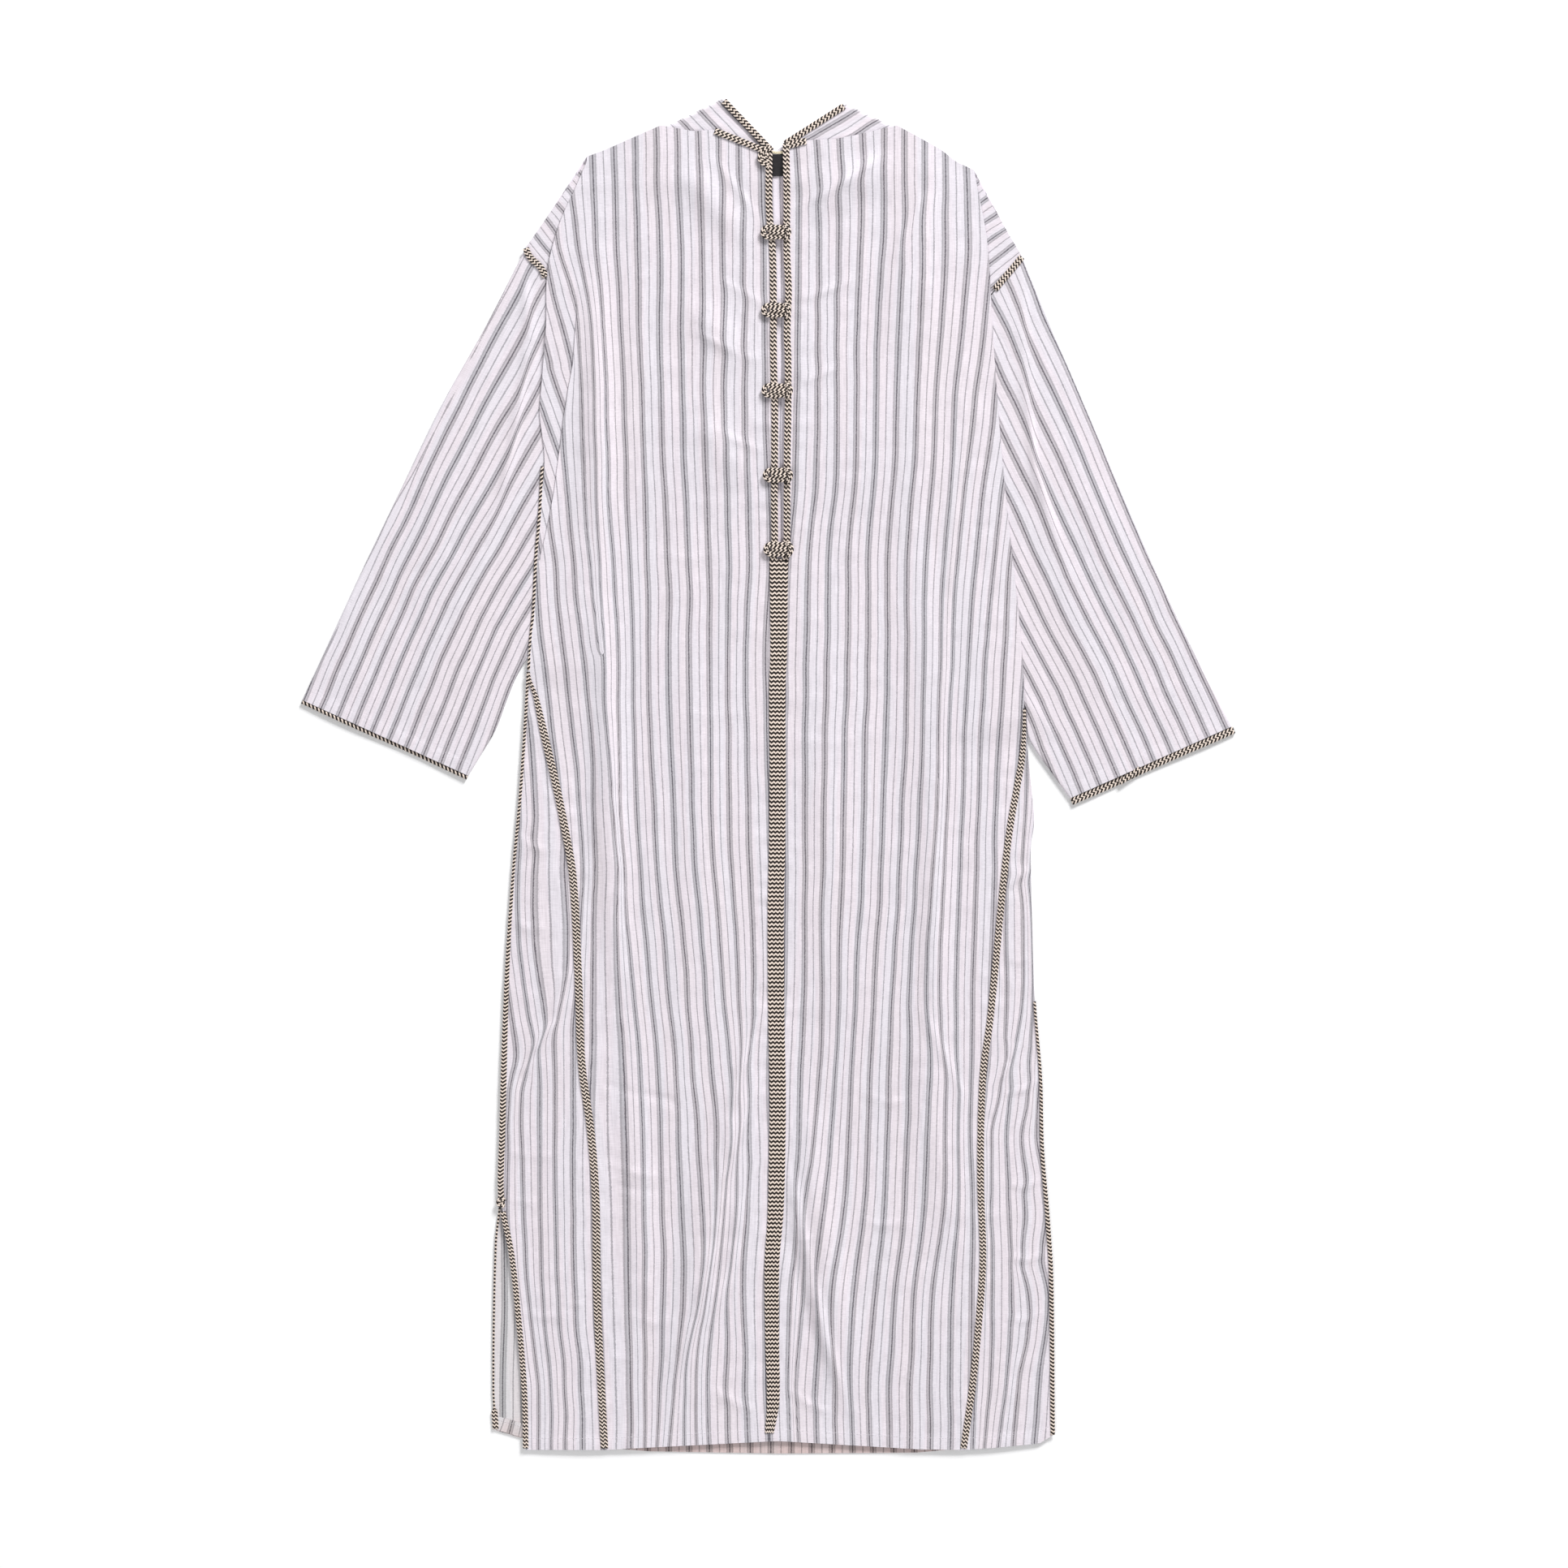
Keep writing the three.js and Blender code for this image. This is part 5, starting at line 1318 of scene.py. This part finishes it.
def braid_strip(path, wide, high=BRAID_HIGH, start=0.0, turned=0.0, plait=PLAIT, weave=None):
    """A braid along points (x, y, z) of its underside. Across it the section is a flattened dome with
    a dip down the middle. Along it slanting strands stand up as rounded plaits, two to each plait's
    length. The ends are closed, and its underside is flat. Where the braid is turned over an edge, its
    middle is that many millimetres to its right. weave gives the section's places and the lean there,
    and its plaits are then counted down the robe."""
    centre, at = resample(path, PLAIT_STEP)
    ahead = np.gradient(centre[:, :2], axis=0)
    ahead /= np.linalg.norm(ahead, axis=1)[:, None]
    normal = np.stack([-ahead[:, 1], ahead[:, 0]], -1)
    half = np.broadcast_to(wide, at.shape) / 2
    along = at[:, None] * PLAIT / plait + start
    if turned:
        u, lean = turned_weave(half, turned)
    elif weave is None:
        u = PLAIT_SECTION[None, :]
        lean = PLAIT_LEAN * half[:, None]
    else:
        u, lean = weave(centre[:, 1:2])
        along = start - centre[:, 1:2]
    off_middle = u * half[:, None] + turned
    strand = np.abs(np.sin(2 * np.pi * (along + PLAIT_SLANT * lean) / PLAIT))
    reach = half[:, None] * (u + 0.07 * np.sign(u) * np.abs(u) ** 4 * (strand - 0.5))
    dome = np.sqrt(1 - 0.92 * u**2) - 0.22 * np.exp(-((off_middle / (0.16 * half[:, None])) ** 2))
    rise = high * (dome * 0.74 + 0.2 * strand * (1 - 0.5 * u**2))
    ends = smooth((np.minimum(at, at[-1] - at) + 0.3) / 1.2)[:, None]
    x = centre[:, 0:1] + normal[:, 0:1] * reach
    y = centre[:, 1:2] + normal[:, 1:2] * reach
    low = centre[:, 2:3] + 0.35 * high * u**4
    top = low + rise * ends
    uv = np.stack([lean + 0 * along, along + 0 * lean], -1).reshape(-1, 2)
    return cloth_shell(x, y, low, top, uv)


def joined(parts):
    """Joins several (points, quads, uv) into one."""
    offsets = np.cumsum([0] + [len(points) for points, _, _ in parts[:-1]])
    points = np.concatenate([part[0] for part in parts])
    quads = np.concatenate([part[1] + offset for part, offset in zip(parts, offsets)])
    return points, quads, np.concatenate([part[2] for part in parts])


def braid_piece(name, parts):
    """Makes strips of braid one piece, which stands for the solid of that name."""
    points, quads, uv = joined(parts)
    return make_piece(f"{name}_plaited", points, quads, uv, BRAID, "braid", [name])


def laid(path, surface, lift=0.05):
    """Lifts a path of (x, y) places onto a surface."""
    path = np.asarray(path, float)
    return np.column_stack([path, surface(path[:, 0], path[:, 1]) + lift])


PLACKET_TOP = {"left": 655, "right": 662}
PLACKET_LOW = -688  # where the three braids down the middle end


def placket_braid(side):
    """Along the slit's edge, and below it beside the seam's own braid."""
    top = PLACKET_TOP[side.name]
    y = np.concatenate([spaced(top, 250, 8), spaced(244, 200, 3), spaced(196, PLACKET_LOW, 8)])
    width = line(SEAM_BRAID, np.minimum(y, SLIT_END))
    x = slit_place(side, y, width + 0.1)
    path = laid(np.column_stack([x, y]), front_top)
    full, _ = resample(path, PLAIT_STEP)
    below = line(SEAM_BRAID, np.minimum(full[:, 1], SLIT_END))
    wide = np.where(full[:, 1] > SLIT_END, BRAID_WIDE + 0.2, below + 0.3)
    low_section, low_lean = band_weave(side.name)

    def weave(down):
        upper = smooth((down - SLIT_END) / 6)
        return mix(low_section, PLAIT_SECTION, upper), mix(low_lean, PLAIT_LEAN * BRAID_WIDE / 2, upper)

    return braid_piece(f"placket_braid_{side.name}", [braid_strip(path, wide, weave=weave)])


def middle_braid():
    """The braid over the centre seam, between the two from the slit."""
    y = spaced(SLIT_END + 5, PLACKET_LOW, 8)
    path = laid(np.column_stack([curve(SEAM_LINE, y), y]), front_top)
    full, _ = resample(path, PLAIT_STEP)
    wide = line(SEAM_BRAID, np.minimum(full[:, 1], SLIT_END)) + 0.3
    section, lean = band_weave("middle")

    def weave(down):
        return section + 0 * down, lean + 0 * down

    return braid_piece("placket_braid_middle", [braid_strip(path, wide, weave=weave)])


GORE_BRAID = {"left": 7.6, "right": 6.6}


def gore_braid(side):
    """Braid down a front gore's seam, which comes out from under the pleat narrow."""
    y = spaced(side.underarm, HEM + 1, 8)
    path = laid(np.column_stack([curve(side.cut, y), y]), front_top)
    _, at = resample(path, PLAIT_STEP)
    wide = GORE_BRAID[side.name] * mix(0.45, 1, smooth(at / 70))
    return braid_piece(f"gore_braid_{side.name}", [braid_strip(path, wide, plait=SEAM_PLAIT)])


def edge_braid(name, rows, high, low, surface, start_wide, end_wide, turned=0.0, narrow=0):
    """Braid down the body's outline, turned over its edge, which widens after its narrow part."""
    y = spaced(high, low, 8)
    path = laid(np.column_stack([curve(rows, y), y]), surface)
    _, at = resample(path, PLAIT_STEP)
    wide = mix(start_wide, end_wide, smooth((at - narrow) / 260))
    return braid_piece(name, [braid_strip(path, wide, turned=turned, plait=SEAM_PLAIT)])


ARMHOLE_BRAID = {"left": 0.56, "right": 0.62}  # the share of the seam, down to its turn, that shows it
ARMHOLE_EDGE = [(-236.5, 324), (-239.5, 270), (-243, 230), (-245.6, 174), (-248.5, 145), (-250.8, 110.5)]
SLIT_FLARE = -661  # below this the braid on the slit's back edge, seen on edge above it, turns flat


def back_slit_braid():
    """Braid down the back's edge of the open slit: seen on edge, and laid flat at its foot."""
    y = spaced(-452, -684, 4)
    path = laid(np.column_stack([curve(LEFT.back_outline, y), y]), back_top)
    full, _ = resample(path, PLAIT_STEP)
    flat = smooth((SLIT_FLARE - full[:, 1]) / 5)
    return braid_piece("slit_braid_back", [braid_strip(path, mix(2.0, 6.2, flat), plait=SEAM_PLAIT)])


def armhole_braid(side):
    """Braid down the armhole's seam from the shoulder's edge, and on the left a thin edge of it below."""
    top, turn, _ = side.armhole
    share = np.linspace(0.0, ARMHOLE_BRAID[side.name], 7)[:, None]
    path = mix(np.array(top, float), np.array(turn, float), share)
    path = path + 1.6 * side.away * np.sin(2 * np.pi * share / share[-1]) * np.array([0.7, 0.7])
    height = FRONT_REST + WALL + GAP + 0.5
    parts = [braid_strip(laid(path, lambda x, y: height + 0 * x), BRAID_WIDE, plait=SEAM_PLAIT)]
    if side is LEFT:
        low = laid(ARMHOLE_EDGE, lambda x, y: SLEEVE_THICK + 0.4 + 0 * x)
        parts.append(braid_strip(low, 3.0, 1.2, turned=1.4))
    return braid_piece(f"armhole_braid_{side.name}", parts)


def flap_top(x, y):
    """The upper face of the hood's showing flap."""
    return FLAP_UNDER + WALL + 0.2 + 0 * x


HOOD_BRAID = {"left": 1.08, "right": 1.04}  # its length, as a share of the hood's front edge


def hood_braid(side):
    """Braid down the hood's front edge, from its tip to the neck."""
    tip = side.hood_top[1]
    low = side.hood_top[2]
    share = np.linspace(0.0, HOOD_BRAID[side.name], 9)[:, None]
    path = mix(np.array(tip, float), np.array(low, float), share) - np.array([0, 3.2])
    return braid_piece(f"hood_braid_{side.name}", [braid_strip(laid(path, flap_top), BRAID_WIDE)])


def neck_braid(side, start, finish):
    """Braid along the neckline."""
    x = spaced(start, finish, 4)
    path = laid(np.column_stack([x, line(side.neckline, x) - 1]), front_top)
    return braid_piece(f"neck_braid_{side.name}", [braid_strip(path, BRAID_WIDE)])


CUFF_BRAID = {"left": 3.7, "right": 7.2}  # its width
CUFF_TURN = {"left": 1.7, "right": 0.0}  # the left cuff's braid is turned half over the edge
CUFF_LAP = 0.36  # the right cuff's braid laps over its own end at this share of the cuff


def cuff_edge(side):
    """A cuff's upper and lower corner, and the direction from it back to the sleeve."""
    top = np.array(side.sleeve_top[-1][::-1], float)
    low = np.array(side.sleeve_low[-1][::-1], float)
    run = (low - top) / np.linalg.norm(low - top)
    back = np.array([-run[1], run[0]])
    return top, low, back if back[1] > 0 else -back


def cuff_braid(side):
    """Braid over the edge of a cuff, on the upper and the lower layer of the sleeve."""
    top, low, back = cuff_edge(side)
    wide = CUFF_BRAID[side.name]
    share = np.linspace(0, 1, 24)[:, None]
    sag = 0.32 * np.sin(share * 9 + side.away)
    path = mix(top, low, share) - back * (GAP + wide / 2 + sag)
    height = 1.35 + 0.5 * np.sin(share[:, 0] * 7)
    parts = [braid_strip(np.column_stack([path, height]), wide, 2.0, turned=CUFF_TURN[side.name])]
    parts.append(braid_strip(np.column_stack([path, 0 * height + 0.1]), wide * 0.94, 1.2))
    if side is RIGHT:
        ends = np.linspace(-0.07, 0.07, 5)[:, None]
        tilt = np.linspace(-2.6, 2.4, 5)[:, None]
        lap = mix(top, low, 1 - CUFF_LAP + ends) - back * (GAP + wide / 2 + tilt)
        parts.append(braid_strip(np.column_stack([lap, np.full(5, 3.3)]), 5.4, 1.6))
    return braid_piece(f"cuff_braid_{side.name}", parts)


# ---------------------------------------------------------------- knots, cord, label

KNOTS = [(8.9, 568.7), (8.9, 487), (10.6, 403), (10.6, 314.5), (11.5, 237)]
STRAND = 5.2  # width of a turn of a knot


def arc(centre, radius, start, finish, count, tall=1.0):
    """Points round an arc between two angles in degrees, stretched along Y where tall is not 1."""
    angles = np.radians(np.linspace(start, finish, count))
    return [(centre[0] + radius * math.cos(a), centre[1] + tall * radius * math.sin(a)) for a in angles]


def knot(number, centre):
    """A knot across the slit: one strand runs along the top, turns round on the left and comes back
    below, one lies between, and one binds them near the right edge."""
    cx, cy = centre
    swing = math.sin(number * 2.3)
    base = float(front_top(np.array([cx - 8.0]), np.array([cy]))[0]) + BRAID_HIGH * 0.75
    left = cx - 9.2 + 0.8 * swing
    right = cx + 8.0
    outer = [(right + 2, cy + 4.6), (cx, cy + 5.0 + 0.3 * swing)]
    outer += arc((left, cy), 4.9, 90, 270, 9)
    outer += [(cx, cy - 4.9), (right + 1.5, cy - 4.4)]
    inner = [(left + 1.0, cy + 0.2), (cx - 2, cy + 0.5 * swing), (right + 3.5, cy - 0.3)]
    binding = arc((right - 1.5, cy), 6.4, 78, -82, 7, 1.05)
    tail = [(left - 2.4, cy + 4.8), (left - 4.2, cy), (left - 2.2, cy - 4.8)]
    parts = []
    for path, lift, wide, shift in (
        (outer, 0.2, STRAND, 0.0), (inner, 0.7, STRAND, 1.4), (binding, 1.7, STRAND - 0.4, 0.7),
        (tail, -0.4, STRAND - 0.6, 2.0),
    ):
        path = np.array(path, float)
        bow = np.sin(np.pi * np.linspace(0, 1, len(path)))
        parts.append(braid_strip(np.column_stack([path, base + lift + 0.9 * bow]), wide, 2.3, shift))
    return braid_piece(f"knot_{number + 1}", parts)


def neck_knot():
    """The turn at the top of the slit, where the hood's edge braid loops round into the slit's own."""
    base = float(front_top(np.array([-2.0]), np.array([646.0]))[0]) + 1.2
    loop = [(4, 657), (-2, 655), (-7, 651), (-8.2, 645), (-4.6, 640.4), (0.6, 638)]
    inner = [(-1, 652), (-3.4, 648), (0, 641)]
    rise = base + np.array([1, 1.4, 1.2, 0.8, 0.5, 0.4])
    parts = [
        braid_strip(np.column_stack([loop, rise]), 5.2),
        braid_strip(np.column_stack([inner, np.full(3, base + 0.8)]), 4.6, start=1.2),
    ]
    return braid_piece("knot_neck", parts)


def slit_knot():
    """A small loop where the side braid parts round the open slit."""
    base = float(front_top(np.array([-276.0]), np.array([-446.0]))[0]) + 1.0
    loop = arc((-279, -446.5), 3.4, 20, 320, 10)
    return braid_piece("knot_slit", [braid_strip(np.column_stack([loop, np.full(10, base)]), 4.2, 1.8)])


def neck_cord():
    """The thin cord over the back neck seam."""
    path = laid([(2.2, 653.4), (6, 652.4), (10, 652.0), (14, 652.3), (18, 653.2)], flap_top, 0.1)
    points, quads, uv = braid_strip(path, 2.6, 1.4)
    return make_piece("back_neck_cord", points, quads, uv, CORD_TAN, "braid", ["back_neck_braid"])


LABEL_LEFT = 3.2
LABEL_WIDE = 14.8
LABEL_TOP = 650
LABEL_LONG = 22.4


def label():
    """A blank woven tab: folded over at its top and bowed a little, it steps down off the hood's seam."""
    x = np.linspace(LABEL_LEFT, LABEL_LEFT + LABEL_WIDE, 16)[None, :]
    y = np.linspace(LABEL_TOP, LABEL_TOP - LABEL_LONG, 24)[:, None]
    step = smooth((y - 634) / 10)
    low = mix(HOOD_RISE + WALL + 0.25, FLAP_UNDER + WALL + 0.3, step)
    low = low + 0.35 * np.sin(np.pi * (x - LABEL_LEFT) / LABEL_WIDE) * (1 - step)
    low = low + 0.6 * smooth((y - 646) / 4)
    x, y = np.broadcast_arrays(x, y)
    uv = np.stack([x, y], -1).reshape(-1, 2)
    points, quads, uv = cloth_shell(x, y, low, low + 0.45, uv)
    return make_piece("label_tab", points, quads, uv, TAPE, "label", ["neck_label"])


# ---------------------------------------------------------------- stitching

STITCH_STEP = 3.2
STITCH_SIZE = np.array([1.2, 0.25, 0.16])  # half its length, half its width, and its height
STITCH_CORNERS = np.array([
    (-1, 0, 0), (0, -1, 0), (1, 0, 0), (0, 1, 0), (-0.6, 0, 1), (0, -0.5, 1.2), (0.6, 0, 1), (0, 0.5, 1.2),
])
STITCH_FACES = np.array([(4, 5, 6, 7), (0, 1, 5, 4), (1, 2, 6, 5), (2, 3, 7, 6), (3, 0, 4, 7), (3, 2, 1, 0)])


def stitch_row(path):
    """Short raised stitches, each a flat lozenge with a ridge, at even steps along a path."""
    place, _ = resample(path, STITCH_STEP)
    ahead = np.gradient(place[:, :2], axis=0)
    ahead /= np.linalg.norm(ahead, axis=1)[:, None]
    aside = np.stack([-ahead[:, 1], ahead[:, 0]], -1)
    corners = STITCH_CORNERS * STITCH_SIZE
    flat = place[:, None, :2] + ahead[:, None] * corners[:, :1] + aside[:, None] * corners[:, 1:2]
    high = place[:, None, 2:] + corners[:, 2:]
    points = np.concatenate([flat, high], -1).reshape(-1, 3)
    quads = (np.arange(len(place))[:, None, None] * len(corners) + STITCH_FACES).reshape(-1, 4)
    return points, quads, points[:, :2]


def stitches(name, rows):
    """Rows of stitches as one piece."""
    points, quads, _ = joined([stitch_row(path) for path in rows])
    return make_piece(name, points, outward(points, quads), None, THREAD_WHITE, "cloth")


def hem_rows():
    """The stitching along the front's hem, and on the turned-up hem at the slit."""
    rows = []
    runs = [(-252, 296, FRONT_HEM, front_hem_top), (-282, -258, BACK_HEM, turned_hem_top)]
    for start, finish, hem, surface in runs:
        x = spaced(start, finish, 5)
        rows.append(laid(np.column_stack([x, line(hem, x) + HEM_STITCH]), surface, 0.02))
    return rows


def front_hem_top(x, y):
    """The front's upper face at its turned hem."""
    return front_under(x, y) + CLOTH_THICK


def cuff_row(side):
    """The stitching round a cuff."""
    top, low, back = cuff_edge(side)
    path = mix(top, low, np.linspace(0.03, 0.97, 30)[:, None]) + back * HEM_STITCH
    return np.column_stack([path, SLEEVE_THICK + sleeve_rise(side, *path.T)])


# ---------------------------------------------------------------- the robe

SIDES = (LEFT, RIGHT)
LAYS = {"left": (LAY_LEFT, LAY_GORE_LEFT), "right": (LAY_RIGHT, LAY_GORE_RIGHT)}  # of front and gore
panel("back", *back_grid(COARSE), back_height, back_lay, INSIDE, "cloth_inside")
for side in SIDES:
    lay, gores = LAYS[side.name]
    name = f"front_{side.name}"
    panel(name, *front_grid(side, FINE), front_under, front_lay(side, lay), COTTON, "cloth")
    name = f"gore_front_{side.name}"
    grid = front_gore_grid(side, FINE)
    panel(name, *grid, front_under, gore_lay(side, gores), COTTON, "cloth")
    name = f"gore_back_{side.name}"
    panel(name, *back_gore_grid(side, COARSE), back_height, back_lay, INSIDE, "cloth_inside")
    name = f"shoulder_{side.name}"
    panel(name, *cap_grid(side, FINE), cap_under, cap_lay(side), COTTON, "cloth")
    sleeve(side)
    hood(side)
    placket_braid(side)
    gore_braid(side)
    armhole_braid(side)
    hood_braid(side)
    cuff_braid(side)

middle_braid()
neck_braid(LEFT, -56, -4)
neck_braid(RIGHT, 20, 40)
edge_braid("side_braid_left", LEFT.outline, 108, -450, front_top, 2.9, 6.0, 0.9, 190)
edge_braid("side_braid_right", RIGHT.outline, -236, -690, front_top, 2.6, 4.4, -1.0)
edge_braid("slit_braid_front", LEFT.outline, -456, -704, front_top, 5.6, 5.6)
back_slit_braid()
for number, centre in enumerate(KNOTS):
    knot(number, centre)
neck_knot()
slit_knot()
neck_cord()
tab = label()
hem = turned_hem()
stitches("hem_stitches", hem_rows())
stitches("cuff_stitches", [cuff_row(side) for side in SIDES])

# ---------------------------------------------------------------- floor, light, camera

FIELD = 1642 * MM  # what the camera takes in at the robe
AIM = (16.6 * MM, -8.5 * MM)
CAMERA_UP = 7.0
SENSOR = 36
ROOM_LIGHT = 0.38
FLOOR_REACH = 60
FLOOR_DROP = 0.0002  # so that the floor and the robe's underside do not share a plane


def floor():
    """A plain pale floor of matt paint, far wider than the view."""
    material, tree = new_material("pale_floor")
    paint = [("Base Color", colour("FBFBFC")), ("Roughness", 0.9)]
    matt = add(tree, "ShaderNodeBsdfPrincipled", paint)["BSDF"]
    add(tree, "ShaderNodeOutputMaterial", [("Surface", matt)])
    mesh = bpy.data.meshes.new("floor")
    corners = [(-1, -1), (1, -1), (1, 1), (-1, 1)]
    places = [(x * FLOOR_REACH, y * FLOOR_REACH, -FLOOR_DROP) for x, y in corners]
    mesh.from_pydata(places, [], [(0, 1, 2, 3)])
    mesh.materials.append(material)
    piece = bpy.data.objects.new("floor", mesh)
    bpy.context.scene.collection.objects.link(piece)


def area_light(name, place, size, power):
    """A square white lamp that faces the origin."""
    light = bpy.data.lights.new(name, "AREA")
    light.shape = "SQUARE"
    light.size = size
    light.energy = power
    lamp = bpy.data.objects.new(name, light)
    lamp.location = place
    lamp.rotation_euler = (-Vector(place)).to_track_quat("-Z", "Y").to_euler()
    bpy.context.scene.collection.objects.link(lamp)


def surroundings():
    """Even white light from all round."""
    world = bpy.data.worlds.new("soft_room")
    world.use_nodes = True
    sky = world.node_tree.nodes["Background"].inputs
    sky["Color"].default_value = colour("FFFFFF")
    sky["Strength"].default_value = ROOM_LIGHT
    bpy.context.scene.world = world


floor()
surroundings()
area_light("key", (3.3, 6.9, 3.75), 2.4, 935)
area_light("fill", (-1.0, -2.8, 3.4), 3.0, 60)

view = bpy.data.cameras.new("camera")
view.sensor_width = SENSOR
view.sensor_height = SENSOR
view.sensor_fit = "HORIZONTAL"
view.lens = SENSOR * CAMERA_UP / FIELD
view.clip_end = 200
eye = bpy.data.objects.new("camera", view)
eye.location = (*AIM, CAMERA_UP)
bpy.context.scene.collection.objects.link(eye)
bpy.context.scene.camera = eye
bpy.context.scene.view_settings.view_transform = "Standard"
